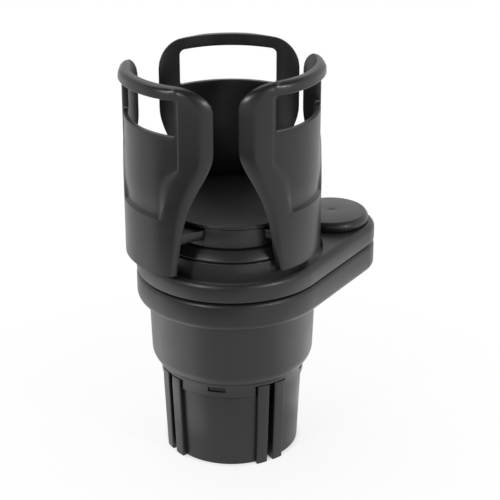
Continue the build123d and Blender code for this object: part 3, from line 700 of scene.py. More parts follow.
@dataclass
class LowerHousing:
    """Lower plate, barrel with the lower well, skirt and pivot post."""

    plate_low: float = 82.6
    plate_high: float = 97.2
    plate_low_round: float = 3.5
    plate_high_round: float = 2.4
    root_round: float = 2.0
    skirt_low: float = 46.0
    skirt_radius: float = 37.4
    skirt_lip: float = 1.2
    skirt_round: float = 0.3
    lip_round: float = 0.5
    band_low: float = 40.4
    band_outer: float = 36.4
    band_inner: float = 34.0
    knuckle_height: float = 51.0
    knuckle_round: float = 3.0
    knuckle_radius: float = 41.0
    barrel_radius: float = 42.0
    floor_low: float = 46.2
    floor_high: float = 48.6
    floor_radius: float = 37.6
    floor_round: float = 2.0
    mouth_radius: float = 39.4
    mouth_chamfer: float = 1.0
    mouth_over: float = 0.6
    knob_hole: float = 24.0
    notch_half_width: float = 8.87
    notch_depth: float = 3.5
    pocket_inset: float = 7.5
    pocket_depth: float = 12.0
    pocket_clear: float = 44.5
    pocket_rib: float = 2.0
    pocket_round: float = 1.0
    boss_radius: float = 9.5
    post_radius: float = 7.0
    post_high: float = 106.8
    window: Triple = (9.0, 43.2, 45.6)

    def build(self) -> None:
        """Build the housing and dress it."""
        piece = self._plate().as_object("lower_housing")
        combine(piece, Join.CUT, self._pocket())
        combine(piece, Join.ADD, self._barrel())
        combine(piece, Join.CUT, self._well(), self._notches())
        finish_piece(piece, HOUSING_FINISH, "base", ["base_housing"])

    def _plate(self) -> Solid:
        """Build the pear-shaped plate with its rounded rims."""
        plate = OUTLINE.prism(0.0, self.plate_low, self.plate_high)
        plate.soften_level(self.plate_low, self.plate_low_round, 8)
        return plate.soften_level(self.plate_high, self.plate_high_round, 4)

    def _barrel(self) -> Solid:
        """Build the solid barrel with skirt, band and knuckle, and the pivot post."""
        profile = [
            (0.0, self.floor_low),
            (self.band_inner, self.floor_low),
            (self.band_inner, self.band_low),
            (self.band_outer, self.band_low),
            (self.band_outer, self.skirt_low),
            (self.skirt_radius, self.skirt_low),
            (self.skirt_radius, self.skirt_low + self.skirt_lip),
            (self.knuckle_radius, self.knuckle_height),
        ]
        for step in range(7):
            turn = pi / 2 * step / 6
            out, up = self.root_round * (1 - cos(turn)), self.root_round * (sin(turn) - 1)
            profile.append((self.barrel_radius + out, self.plate_low + up))
        top = self.plate_low + OVER
        profile += [(self.barrel_radius + self.root_round, top), (0.0, top)]
        barrel = Solid().turn_profile(profile)
        barrel.soften(lambda edge: at_height(edge, self.knuckle_height), self.knuckle_round, 8)
        barrel.soften_level(self.skirt_low, self.skirt_round, 2)
        barrel.soften_level(self.skirt_low + self.skirt_lip, self.lip_round, 3)
        return barrel.disc(self.post_radius, top, self.post_high, (OUTLINE.distance, 0.0))

    def _well(self) -> Solid:
        """Build the space of the lower cup and of the knob's opening."""
        profile = [
            (0.0, self.floor_low - OVER),
            (self.knob_hole, self.floor_low - OVER),
            (self.knob_hole, self.floor_high),
            (self.floor_radius, self.floor_high),
            (self.mouth_radius, self.plate_high - self.mouth_chamfer),
            (self.mouth_radius + self.mouth_chamfer + self.mouth_over, self.plate_high + self.mouth_over),
            (0.0, self.plate_high + self.mouth_over),
        ]
        well = Solid().turn_profile(profile)

        def at_corner(place: Vector) -> bool:
            """Tell whether a place lies where the well's floor meets its wall."""
            return close(place.z, self.floor_high) and hypot(place.x, place.y) > self.knob_hole + OVER

        return well.soften_where(at_corner, self.floor_round, 5)

    def _pocket(self) -> Solid:
        """Build the space of the open pocket under the pivot end."""
        top = self.plate_low + self.pocket_depth
        low, high = self.plate_low - 2 * OVER, top + OVER
        pocket = OUTLINE.prism(self.pocket_inset, self.plate_low - OVER, top)
        pocket.soften_level(top, self.pocket_round, 3)
        piece = pocket.as_object("pocket")
        keep = Solid().disc(self.pocket_clear, low, high)
        boss = OUTLINE.pivot_disc(self.boss_radius, low, high)
        middle, reach, half = OUTLINE.distance, OUTLINE.pivot_end, self.pocket_rib / 2
        along = Solid().block((middle - reach, -half, low), (middle + reach, half, high))
        across = Solid().block((middle - half, -reach, low), (middle + half, reach, high))
        combine(piece, Join.CUT, keep, boss, along, across)
        return solid_from(piece)

    def _notches(self) -> Solid:
        """Build the notches for the segments' ribs and the snap windows between them."""
        tools = Solid()
        outer = self.skirt_radius + 2 * OVER
        width, low, high = self.window
        near = (self.band_inner - self.notch_depth, -self.notch_half_width, self.band_low - OVER)
        far = (outer, self.notch_half_width, self.skirt_low)
        for turn in (0.0, 90.0, 180.0, 270.0):
            tools.block(near, far, turn)
            tools.block((self.band_inner - OVER / 2, -width / 2, low), (outer, width / 2, high), 45.0 + turn)
        return tools


def solid_from(piece: Object) -> Solid:
    """Take the shape out of an object and delete the object.

    Args:
        piece: object in millimetres.

    Returns:
        The solid that the object held.
    """
    solid = Solid()
    solid.bm.from_mesh(piece.data)
    remove(piece)
    return solid


@dataclass
class PlugSegments:
    """The four ribbed segments of the expanding plug."""

    turns: dict[str, float] = field(
        default_factory=lambda: {"back_right": 45.0, "back_left": 135.0, "front_left": 225.0, "front_right": 315.0}
    )
    opening: float = 2.0
    sweep: float = 89.3
    rib_sweep: float = 10.2
    top: float = 40.0
    top_radius: float = 33.5
    foot_radius: float = 31.7
    wall: float = 2.4
    rib_proud: float = 2.4
    rib_top: float = 45.6
    flag_depth: float = 1.9
    foot_lip: float = 3.0
    foot_thick: float = 2.0
    arm: Triple = (12.0, 37.2, 40.1)
    arm_reach: float = 10.8
    pin: Triple = (1.7, 14.0, 45.0)
    gusset: Triple = (15.0, 1.0, 3.4)
    foot_round: float = 0.7
    top_round: float = 0.5
    rib_round: float = 0.45
    arm_round: float = 0.3
    gusset_round: float = 0.2

    def build(self) -> None:
        """Build each segment in its own place and dress it."""
        for side, turn in self.turns.items():
            parts = [self._panel(), *self._ribs(), self._arm(), self._pin(), self._gusset()]
            place = shifted(self.opening, turn)
            for part in parts:
                part.place(place)
            piece = join_solids(f"plug_segment_{side}", parts)
            finish_piece(piece, SEGMENT_FINISH, f"segment_{side}", [f"base_segment_{side}"])

    def _panel(self) -> Solid:
        """Build the curved panel with its foot lip."""
        inner = self.foot_radius - self.wall
        profile = [
            (self.foot_radius, 0.0),
            (self.top_radius, self.top),
            (self.top_radius - self.wall, self.top),
            (inner, self.foot_thick),
            (inner - self.foot_lip, self.foot_thick),
            (inner - self.foot_lip, 0.0),
        ]
        panel = Solid().sweep_profile(profile, -self.sweep / 2, self.sweep)
        panel.soften_level(0.0, self.foot_round, 4)
        return panel.soften_level(self.top, self.top_round, 3)

    def _ribs(self) -> list[Solid]:
        """Build the two upright ribs with the flags at their tops."""
        ribs = []
        outer = self.top_radius + self.rib_proud
        profile = [
            (self.foot_radius - self.wall / 2, 0.0),
            (self.foot_radius + self.rib_proud, 0.0),
            (outer, self.top),
            (outer, self.rib_top),
            (outer - self.flag_depth, self.rib_top),
            (outer - self.flag_depth, self.top),
            (self.top_radius - self.wall / 2, self.top),
        ]
        for start in (-self.sweep / 2, self.sweep / 2 - self.rib_sweep):
            rib = Solid().sweep_profile(profile, start, self.rib_sweep)
            ribs.append(rib.soften_all(self.rib_round, 3))
        return ribs

    def _arm(self) -> Solid:
        """Build the flat arm that slides between the guide plate and the cover."""
        width, low, high = self.arm
        arm = Solid().block((self.arm_reach, -width / 2, low), (self.top_radius - self.wall / 2, width / 2, high))
        return arm.soften_all(self.arm_round)

    def _pin(self) -> Solid:
        """Build the pin that runs in the knob's spiral groove."""
        radius, reach, high = self.pin
        pin = Solid().disc(radius, self.arm[2] - OVER / 2, high, (reach, 0.0))
        return pin.soften_level(high, self.arm_round, 2)

    def _gusset(self) -> Solid:
        """Build the web that stiffens the arm."""
        inner = self.foot_radius - self.wall / 2
        deep, half, shoulder = self.gusset
        low = self.arm[1] - deep
        gusset = Solid().block((inner - shoulder, -half, low), (inner + OVER, half, self.arm[1] + OVER / 2))
        foot = [v for v in gusset.bm.verts if close(v.co.z, low) and v.co.x < inner]
        bmesh.ops.translate(gusset.bm, verts=foot, vec=(shoulder, 0.0, 0.0))
        return gusset.soften_all(self.gusset_round)


@dataclass
class TurnKnob:
    """Knob in the floor of the lower well, with finger pockets on both sides of a bar."""

    low: float = 43.3
    flange_high: float = 45.8
    high: float = 48.3
    flange_radius: float = 26.5
    face_radius: float = 23.6
    pocket_radius: float = 19.0
    pocket_depth: float = 1.8
    bar_width: float = 7.0
    edge_round: float = 0.6

    def build(self) -> None:
        """Build the knob and dress it."""
        knob = Solid().stack(self.low, (self.flange_radius, self.flange_high), (self.face_radius, self.high))
        knob.soften_level(self.high, self.edge_round, 4)
        piece = knob.as_object("turn_knob")
        bottom = self.high - self.pocket_depth
        pocket = Solid().disc(self.pocket_radius, bottom, self.high + OVER)
        pocket.soften_level(bottom, self.edge_round, 3)
        hollow = pocket.as_object("hollow")
        reach, half = self.flange_radius, self.bar_width / 2
        combine(hollow, Join.CUT, Solid().block((-reach, -half, self.low), (reach, half, self.high + 2 * OVER)))
        combine(piece, Join.CUT, solid_from(hollow))
        finish_piece(piece, INNER_FINISH, "knob", ["base_knob"])


@dataclass
class SwingPlate:
    """Upper pear-shaped plate with the drum that carries the hub."""

    low: float = 98.0
    high: float = 108.0
    top_round: float = 3.4
    low_round: float = 0.8
    wall: float = 2.5
    moat_radius: float = 45.8
    moat_floor: float = 104.5
    drum_radius: float = 38.7
    drum_high: float = 114.4
    drum_round: float = 0.4
    recess_radius: float = 15.6
    recess_floor: float = 104.0
    tube_radius: float = 11.0
    tube_low: float = 1.5
    bore_radius: float = 7.06
    rib: float = 1.8
    rib_count: int = 8
    rib_gap: float = 0.8

    def build(self) -> None:
        """Build the plate and dress it."""
        plate = OUTLINE.prism(0.0, self.low, self.high)
        plate.soften_level(self.high, self.top_round, 8)
        plate.soften_level(self.low, self.low_round, 3)
        piece = plate.as_object("upper_plate")
        moat = Solid().ring(self.drum_radius - OVER, self.moat_radius, self.moat_floor, self.high + OVER)
        combine(piece, Join.CUT, self._hollow(), moat)
        combine(piece, Join.ADD, self._drum())
        recess = OUTLINE.pivot_disc(self.recess_radius, self.recess_floor, self.high + OVER)
        combine(piece, Join.CUT, self._cavity(), recess)
        combine(piece, Join.ADD, OUTLINE.pivot_disc(self.tube_radius, self.low, self.high - self.tube_low))
        combine(piece, Join.CUT, OUTLINE.pivot_disc(self.bore_radius, self.low - OVER, self.high))
        finish_piece(piece, HOUSING_FINISH, "swing", ["swing_plate"])

    def _hollow(self) -> Solid:
        """Build the hollow under the skin, between the drum and the pivot end."""
        piece = OUTLINE.prism(self.wall + self.low_round, self.low - OVER, self.high - self.wall).as_object("hollow")
        combine(piece, Join.CUT, Solid().disc(self.moat_radius + self.wall / 2, self.low - 2 * OVER, self.high))
        return solid_from(piece)

    def _drum(self) -> Solid:
        """Build the drum with its rounded upper rim."""
        drum = Solid().disc(self.drum_radius, self.moat_floor - OVER, self.drum_high)
        return drum.soften_level(self.drum_high, self.drum_round, 3)

    def _cavity(self) -> Solid:
        """Build the hollow inside the drum and the groove round it."""
        outer = OUTLINE.cup_end - self.wall - self.low_round
        step = self.moat_floor - self.wall
        cavity = Solid().stack(self.low - OVER, (self.drum_radius - self.wall, self.drum_high - self.wall))
        piece = cavity.as_object("cavity")
        combine(piece, Join.ADD, Solid().ring(self.drum_radius, outer, self.low - OVER, step))
        near = (self.drum_radius - OVER, -self.rib / 2, self.low + self.rib_gap)
        far = (outer + OVER, self.rib / 2, step + OVER)
        pitch = 360.0 / self.rib_count
        combine(piece, Join.CUT, *(Solid().block(near, far, pitch * (i + 0.5)) for i in range(self.rib_count)))
        return solid_from(piece)


@dataclass
class PivotCap:
    """Round cap over the pivot, with a bevelled rim and a small dimple."""

    radius: float = 19.0
    low: float = 108.2
    high: float = 113.0
    chamfer_width: float = 1.5
    chamfer_height: float = 2.0
    ring_radius: float = 15.3
    ring_wall: float = 1.6
    ring_depth: float = 3.6
    thick: float = 1.6
    dimple_radius: float = 2.8
    dimple_depth: float = 0.5
    rounds: tuple[float, ...] = (0.25, 0.35, 0.4, 0.5)

    def build(self) -> None:
        """Build the cap and dress it."""
        inner = self.ring_radius - self.ring_wall
        profile = [
            (0.0, self.high - self.dimple_depth),
            (self.dimple_radius, self.high),
            (self.radius - self.chamfer_width, self.high),
            (self.radius, self.high - self.chamfer_height),
            (self.radius, self.low),
            (self.ring_radius, self.low),
            (self.ring_radius, self.low - self.ring_depth),
            (inner, self.low - self.ring_depth),
            (inner, self.high - self.thick),
            (0.0, self.high - self.thick),
        ]
        cap = Solid().turn_profile(profile, centre=OUTLINE.distance)
        foot, rim, side, dimple = self.rounds
        cap.soften_level(self.low, foot, 2)
        cap.soften(lambda edge: at_height(edge, self.high) and self._reach(edge) > self.radius / 2, rim, 3)
        cap.soften(lambda edge: at_height(edge, self.high - self.chamfer_height), side, 3)
        cap.soften(lambda edge: at_height(edge, self.high) and self._reach(edge) < self.radius / 4, dimple, 3)
        finish_piece(cap.as_object("pivot_lid"), CAP_FINISH, "swing", ["pivot_cap"])

    @staticmethod
    def _reach(edge: Edge) -> float:
        """Give the distance of an edge's first end from the pivot."""
        vert = edge.verts[0]
        return hypot(vert.co.x - OUTLINE.distance, vert.co.y)


@dataclass
class Hub:
    """Sloping flange, hub ring with its three guide blocks, and the floor of the upper cup."""

    claw_turns: tuple[float, ...] = (60.0, 180.0, 300.0)
    drum_high: float = 114.4
    flange_low_radius: float = 38.1
    flange_high_radius: float = 34.8
    flange_high: float = 119.9
    flange_edge: float = 0.8
    flange_foot_round: float = 0.2
    flange_round: float = 0.5
    shadow_height: float = 0.5
    shadow_depth: float = 1.4
    ring_radius: float = 33.6
    bed: float = 124.0
    block_high: float = 130.0
    ring_foot_round: float = 0.25
    block_round: float = 0.4
    channel_radius: float = 31.4
    channel_half_width: float = 19.0
    channel_start: float = -1.25
    channel_over: float = 3.0
    ledge_low: float = 0.05
    stud: Triple = (2.5, 29.5, 128.6)
    floor_radius: float = 34.3
    floor_high: float = 132.2
    floor_round: float = 0.8

    def build(self) -> None:
        """Build the three pieces of the hub and dress them."""
        finish_piece(self._flange().as_object("hub_flange"), HOUSING_FINISH, "swing", ["hub_base"])
        self._ring()
        finish_piece(self._floor().as_object("upper_floor"), INNER_FINISH, "swing", ["cup_floor"])

    def _flange(self) -> Solid:
        """Build the sloping flange above the drum."""
        shadow = self.drum_high + self.shadow_height
        profile = [
            (0.0, self.drum_high),
            (self.flange_low_radius - self.shadow_depth, self.drum_high),
            (self.flange_low_radius - self.shadow_depth, shadow),
            (self.flange_low_radius, shadow),
            (self.flange_low_radius, shadow + self.flange_edge),
            (self.flange_high_radius, self.flange_high),
            (0.0, self.flange_high),
        ]
        flange = Solid().turn_profile(profile)
        flange.soften_level(shadow, self.flange_foot_round, 2)
        flange.soften(lambda edge: at_height(edge, shadow + self.flange_edge), self.flange_round, 3)
        return flange.soften_level(self.flange_high, self.flange_round, 3)

    def _ring(self) -> None:
        """Build the ring with the rail bed, the guide blocks and the stop studs."""
        shadow = self.flange_high + self.shadow_height
        neck = self.ring_radius - self.shadow_depth
        ring = Solid().stack(self.flange_high, (neck, shadow), (self.ring_radius, self.block_high))
        ring.soften_level(shadow, self.ring_foot_round, 2)
        ring.soften_level(self.block_high, self.block_round, 3)
        piece = ring.as_object("hub_guide_ring")
        half, outside = self.channel_half_width, self.ring_radius + self.channel_over
        for turn in self.claw_turns:
            channel = Solid().block((self.channel_start, -half, self.bed), (outside, half, self.block_high + OVER))
            near, far = (self.channel_radius, -half, shadow - self.ledge_low), (outside, half, self.bed + OVER)
            combine(piece, Join.CUT, channel.place(turned(turn)), Solid().block(near, far).place(turned(turn)))
        radius, reach, high = self.stud
        for turn in self.claw_turns:
            stud = Solid().disc(radius, self.bed - OVER, high, (reach, 0.0)).soften_level(high, self.block_round, 2)
            combine(piece, Join.ADD, stud.place(turned(turn)))
        finish_piece(piece, HOUSING_FINISH, "swing", ["hub_ring"])

    def _floor(self) -> Solid:
        """Build the floor disc of the upper cup."""
        neck, shadow = self.ring_radius - self.shadow_depth, self.block_high + self.shadow_height
        disc = Solid().stack(self.block_high, (neck, shadow), (self.floor_radius, self.floor_high))
        return disc.soften_level(self.floor_high, self.floor_round, 4)


@dataclass
class Claws:
    """The three sliding claws of the upper cup.

    A claw is shaped flat, as a sheet in the y and z directions whose depth is measured from the
    outer radius, and is bent round the cup's axis at the end.
    """

    turns: dict[str, float] = field(default_factory=lambda: {"back": 60.0, "left": 180.0, "right": 300.0})
    reaches: dict[str, float] = field(default_factory=lambda: {"back": 0.0, "left": 9.836, "right": 0.0})
    outer: float = 44.4
    wall: float = 3.2
    low: float = 110.5
    high: float = 205.2
    foot_half: float = 21.62
    ankle: Pair = (23.31, 124.3)
    ankle_lean: float = 0.08
    waist_lean: float = 0.36
    waist: Pair = (30.41, 155.04)
    shoulder: Pair = (34.81, 173.73)
    corner: float = 11.5
    rim_height: float = 5.8
    rim_proud: float = 1.5
    window_half: float = 24.2
    window_low: float = 181.2
    window_top_corner: float = 2.5
    window_foot_corner: float = 1.3
    panel_half: float = 26.64
    panel_waist: float = 165.64
    panel_crease: Pair = (17.0, 138.94)
    panel_depth: float = 1.0
    panel_slope: Pair = (3.2, 1.7)
    panel_softness: float = 5.0
    crease_depth: float = 1.6
    crease_slope: float = 1.4
    crease_fade: float = 11.0
    bead_round: float = 2.3
    bead_fade: float = 12.0
    bead_end: int = 15
    bead_low_round: float = 0.6
    window_round: float = 0.45
    inner_round: float = 0.5
    rail_round: float = 0.3
    skin_margin: float = 0.3
    flank_round: Pair = (1.2, 2.7)
    rail: tuple[float, float, float, float] = (18.6, 124.3, 128.9, 11.4)
    stud_slot: Triple = (2.8, 17.2, 29.8)

    def build(self) -> None:
        """Build each claw in its own place and dress it."""
        for side, turn in self.turns.items():
            place = shifted(self.reaches[side], turn)
            parts = [self._blade().place(place), self._rail().place(place)]
            piece = join_solids(f"claw_{side}_blade", parts)
            finish_piece(piece, CLAW_FINISH, f"claw_{side}", [f"cup_claw_{side}"])

    def half_width(self, height: float) -> float:
        """Give half the claw's width at one height.

        Args:
            height: height above the feet.

        Returns:
            Half the width there.
        """
        ankle_half, ankle_z = self.ankle
        waist_half, waist_z = self.waist
        shoulder_half, shoulder_z = self.shoulder
        if height <= ankle_z:
            return blend(self.foot_half, ankle_half, (height - self.low) / (ankle_z - self.low))
        if height <= waist_z:
            return curve(ankle_half, waist_half, ankle_z, waist_z, height, self.ankle_lean, self.waist_lean)
        if height <= shoulder_z:
            return curve(waist_half, shoulder_half, waist_z, shoulder_z, height, self.waist_lean, 0.0)
        arc_low = self.high - self.corner
        if height <= arc_low:
            return shoulder_half
        rise = min(height - arc_low, self.corner)
        return shoulder_half - self.corner + sqrt(max(0.0, self.corner**2 - rise**2))

    def panel_edge(self, height: float) -> float:
        """Give half the width of the recessed panel at one height.

        Args:
            height: height above the feet.

        Returns:
            Half the width of the panel there.
        """
        crease_half, crease_z = self.panel_crease
        return blend(crease_half, self.panel_half, (height - crease_z) / (self.panel_waist - crease_z))

    def _rows(self) -> list[float]:
        """Give the heights of the sheet's rows, with one at each feature."""
        rim_low = self.high - self.rim_height
        arc_low = self.high - self.corner
        stops = [
            (self.low, 1),
            (self.ankle[1], 5),
            (self.panel_crease[1], 5),
            (self.panel_crease[1] + self.crease_slope, 4),
            (self.panel_waist, 10),
            (self.shoulder[1], 4),
            (self.window_low, 3),
            (self.window_low + self.window_foot_corner, 1),
            (arc_low, 4),
            (rim_low - self.window_top_corner, 1),
            (rim_low, 1),
        ]
        rows = [self.low]
        for (start, _), (end, count) in zip(stops, stops[1:]):
            rows += [blend(start, end, step / count) for step in range(1, count + 1)]
        first = atan2(rim_low - arc_low, sqrt(self.corner**2 - (rim_low - arc_low) ** 2))
        steps = 8
        for step in range(1, steps + 1):
            rows.append(arc_low + self.corner * sin(blend(first, pi / 2, step / steps)))
        return rows

    def _columns(self, height: float) -> list[float]:
        """Give the places of the sheet's right-hand columns at one height.

        Args:
            height: height of the row.

        Returns:
            The distances from the middle, from 0 to the edge.
        """
        rim_low = self.high - self.rim_height
        level = min(height, rim_low)
        edge = self.half_width(level)
        panel = self.panel_edge(level)
        slope = self._slope(level)
        share = (panel - slope) / (self.panel_half - self.panel_slope[1])
        near_corner = self.window_half - self.window_top_corner
        inner = [share * near_corner * step / 7 for step in range(8)]
        inner += [share * (self.window_half - self.window_foot_corner), share * self.window_half]
        sides = [panel - slope * (1 - step / 4) for step in range(5)]
        roll = self._roll(level)
        flat = [blend(panel, edge - roll, step / 2) for step in range(1, 3)]
        flank = [edge - roll * (1 - sin(radians(angle))) for angle in (18, 36, 54, 72, 90)]
        squeeze = self.half_width(height) / edge
        return [squeeze * place for place in inner + sides + flat + flank]

    def _slope(self, height: float) -> float:
        """Give the width of the slope that leads down into the panel at one height."""
        part = clamp((height - self.panel_crease[1]) / (self.panel_waist - self.panel_crease[1]))
        return blend(*self.panel_slope, part) + self.panel_softness * sin(pi * part**2)

    def _roll(self, height: float) -> float:
        """Give the radius of the rounded flank at one height."""
        return blend(*self.flank_round, (height - self.ankle[1]) / (self.waist[1] - self.ankle[1]))

    def from_outline(self, across: float, height: float) -> float:
        """Give the distance of a place from the claw's side or top.

        Args:
            across: distance from the middle of the claw.
            height: height above the feet.

        Returns:
            The distance to the outline, in millimetres.
        """
        out = abs(across) - self.shoulder[0] + self.corner
        rise = height - self.high + self.corner
        if out > 0.0 and rise > 0.0:
            return self.corner - hypot(out, rise)
        return min(self.half_width(height) - abs(across), self.high - height)

    def relief(self, across: float, height: float, bead: bool) -> float:
        """Give the depth of the outer face at one place of the flat claw.

        Args:
            across: distance from the middle of the claw.
            height: height above the feet.
            bead: whether the place is on the raised bead.

        Returns:
            The depth, negative below the wall's surface.
        """
        reach = self.from_outline(across, height)
        if bead:
            end = self._columns(height)[self.bead_end] - abs(across)
            return self.rim_proud * ease(end / self.bead_fade) - roll_off(reach, self.bead_round)
        if height > self.high - self.rim_height + TOLERANCE:
            return -roll_off(reach, self._roll(height))
        side = (self.panel_edge(height) - abs(across)) / self._slope(height)
        above = height - self.panel_crease[1]
        depth = blend(self.crease_depth, self.panel_depth, ease((above - self.crease_slope) / self.crease_fade))
        sunk = depth * ease(min(side, above / self.crease_slope))
        return -sunk - roll_off(reach, self._roll(height))

    def _sheet(self) -> Solid:
        """Build the flat sheet with rows and columns at each feature."""
        rows = self._rows()
        count = len(self._columns(self.low)) - 1
        sheet = Solid()
        bmesh.ops.create_grid(sheet.bm, x_segments=2 * count, y_segments=len(rows) - 1, size=1.0)
        for vert in sheet.bm.verts:
            column = round(vert.co.x * count)
            row = round((vert.co.y + 1.0) / 2.0 * (len(rows) - 1))
            across = self._columns(rows[row])[abs(column)] * (-1.0 if column < 0 else 1.0)
            vert.co = (self.relief(across, rows[row], bead=False), across, rows[row])
        return sheet

    def _blade(self) -> Solid:
        """Build the curved wall with panel, window and rim."""
        sheet = self._sheet()
        bm = sheet.bm
        rim_low = self.high - self.rim_height
        hole = [
            face
            for face in bm.faces
            if self.window_low < face.calc_center_median().z < rim_low
            and abs(face.calc_center_median().y) < self.window_half
        ]
        bmesh.ops.delete(bm, geom=hole, context="FACES")
        for side in (-1, 1):
            self._fill_corner(sheet, side, self.window_low, self.window_foot_corner)
            self._fill_corner(sheet, side, rim_low, -self.window_top_corner)
        for vert in sheet.extrude(bm.faces[:], keep=True):
            vert.co.x = -self.wall
        sheet.face_outwards()
        self._raise_rim(sheet, rim_low)
        sheet.face_outwards()
        self._round_edges(sheet, rim_low)
        self._bend(sheet)
        return sheet.face_outwards()

    def _fill_corner(self, sheet: Solid, side: int, level: float, rise: float) -> None:
        """Fill one corner of the window up to its rounding.

        Args:
            sheet: flat claw, still without thickness.
            side: 1 for the corner at positive y, or -1.
            level: height of the window's edge.
            rise: radius of the corner, negative below the edge.
        """
        bm = sheet.bm
        corner = Vector((-self.panel_depth, side * self.window_half, level))
        start = next(v for v in bm.verts if (v.co - corner - Vector((0.0, 0.0, rise))).length < TOLERANCE)
        bmesh.ops.spin(
            bm,
            geom=[start],
            cent=corner + Vector((0.0, -side * abs(rise), rise)),
            axis=(1.0, 0.0, 0.0),
            angle=pi / 2 if side * rise < 0 else -pi / 2,
            steps=6,
        )
        bmesh.ops.remove_doubles(bm, verts=bm.verts, dist=TOLERANCE / 4)
        reach = abs(rise) + TOLERANCE
        loose = [
            edge
            for edge in bm.edges
            if len(edge.link_faces) < 2
            and all(abs(v.co.y - corner.y) < reach and abs(v.co.z - level) < reach for v in edge.verts)
        ]
        bmesh.ops.edgeloop_fill(bm, edges=loose)

    def _raise_rim(self, sheet: Solid, rim_low: float) -> None:
        """Raise the outer faces of the rim into a bead.

        Args:
            sheet: flat claw.
            rim_low: height at which the bead starts.
        """
        bm = sheet.bm
        faces = []
        for face in bm.faces:
            middle = face.calc_center_median()
            if self._is_outer(face) and middle.z > rim_low and abs(middle.y) < self._columns(middle.z)[self.bead_end]:
                faces.append(face)
        for vert in sheet.extrude(faces, keep=False):
            vert.co.x = self.relief(vert.co.y, vert.co.z, bead=True)
        bmesh.ops.delete(bm, geom=[f for f in faces if f.is_valid], context="FACES_ONLY")
        bmesh.ops.remove_doubles(bm, verts=bm.verts, dist=TOLERANCE / 4)

    def _is_outer(self, face: Face) -> bool:
        """Tell whether a face of the flat claw looks outwards from the cup."""
        return face.normal.x > TOLERANCE and face.calc_center_median().x > self.skin_margin - self.wall

    def _round_edges(self, sheet: Solid, rim_low: float) -> None:
        """Round the lower corner of the rim's bead, the window's outer outline and the sharp edges of the inner face.

        Args:
            sheet: flat claw.
            rim_low: height at which the bead starts.
        """

        def on_window(place: Vector) -> bool:
            """Tell whether a place is on the outer outline of the window."""
            level = self.window_low - TOLERANCE < place.z < rim_low + TOLERANCE
            return level and close(place.x, -self.panel_depth) and abs(place.y) < self.window_half + TOLERANCE

        def on_bead(place: Vector) -> bool:
            """Tell whether a place is on the lower corner of the bead."""
            return close(place.z, rim_low) and place.x > self.rim_proud / 2

        sheet.soften_where(on_bead, self.bead_low_round, 4)
        sheet.soften_where(on_window, self.window_round, 3)
        sheet.soften_where(lambda place: close(place.x, -self.wall), self.inner_round, 3)

    def _bend(self, sheet: Solid) -> None:
        """Bend the flat claw round the cup's axis."""
        for vert in sheet.bm.verts:
            radius = self.outer + vert.co.x
            vert.co.x = sqrt(radius**2 - vert.co.y**2)

    def _rail(self) -> Solid:
        """Build the flat rail that slides in the hub, with the slot for the stop stud."""
        half, low, high, inner = self.rail
        rail = Solid().disc(self.outer - self.wall / 2, low, high)
        for point, normal in (((inner, 0, 0), (-1, 0, 0)), ((0, half, 0), (0, 1, 0)), ((0, -half, 0), (0, -1, 0))):
            geom = rail.bm.verts[:] + rail.bm.edges[:] + rail.bm.faces[:]
            cut = bmesh.ops.bisect_plane(rail.bm, geom=geom, plane_co=point, plane_no=normal, clear_outer=True)
            rim = [item for item in cut["geom_cut"] if isinstance(item, Edge)]
            bmesh.ops.edgeloop_fill(rail.bm, edges=rim)
        rail.face_outwards()
        rail.soften_all(self.rail_round)
        piece = rail.as_object("rail")
        radius, near, far = self.stud_slot
        slot = Solid().pear(radius, radius, far - near, low - OVER, high + OVER)
        combine(piece, Join.CUT, slot.place(Matrix.Translation((near, 0.0, 0.0))))
        return solid_from(piece)


def clamp(part: float) -> float:
    """Keep a share between 0 and 1."""
    return min(1.0, max(0.0, part))


def ease(part: float) -> float:
    """Give the smooth step from 0 to 1."""
    part = clamp(part)
    return part * part * (3.0 - 2.0 * part)


def roll_off(reach: float, radius: float) -> float:
    """Give how far a rounded edge lies below the flat face.

    Args:
        reach: distance from the outline.
        radius: radius of the rounding.

    Returns:
        The drop, 0 where the face is flat.
    """
    inside = min(radius, max(0.0, radius - reach))
    return radius - sqrt(radius**2 - inside**2)


def blend(start: float, end: float, part: float) -> float:
    """Give the value a part of the way from start to end, and never beyond them."""
    return start + (end - start) * clamp(part)


def curve(
    start: float, end: float, start_at: float, end_at: float, place: float, start_slope: float, end_slope: float
) -> float:
    """Give a value on the smooth curve between two points with known slopes.

    Args:
        start: value at the start.
        end: value at the end.
        start_at: place of the start.
        end_at: place of the end.
        place: place that the value is wanted for.
        start_slope: slope at the start.
        end_slope: slope at the end.

    Returns:
        The value at that place.
    """
    span = end_at - start_at
    t = (place - start_at) / span
    value = start * (2 * t**3 - 3 * t**2 + 1) + end * (3 * t**2 - 2 * t**3)
    return value + span * (start_slope * (t**3 - 2 * t**2 + t) + end_slope * (t**3 - t**2))


@dataclass
class Fixings:
    """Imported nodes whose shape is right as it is: inner plates, screws, washers and springs."""

    inner: tuple[str, ...] = ("base_guide_plate", "base_cover")
    steel: tuple[str, ...] = (
        "base_cover_screws",
        "hub_screws",
        "pivot_screw",
        "pivot_washer",
        "rail_spring_back",
        "rail_spring_left",
        "rail_spring_right",
    )
    washers: tuple[str, ...] = ("slip_washer",)

    def build(self) -> None:
        """Dress each node."""
        for names, finish in (
            (self.inner, INNER_FINISH),
            (self.steel, STEEL_FINISH),
            (self.washers, WASHER_FINISH),
        ):
            for name in names:
                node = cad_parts[name]
                node.data.materials.clear()
                node.data.materials.append(finish.material())
                LOG.info("%s: dressed as %s", name, finish.name)


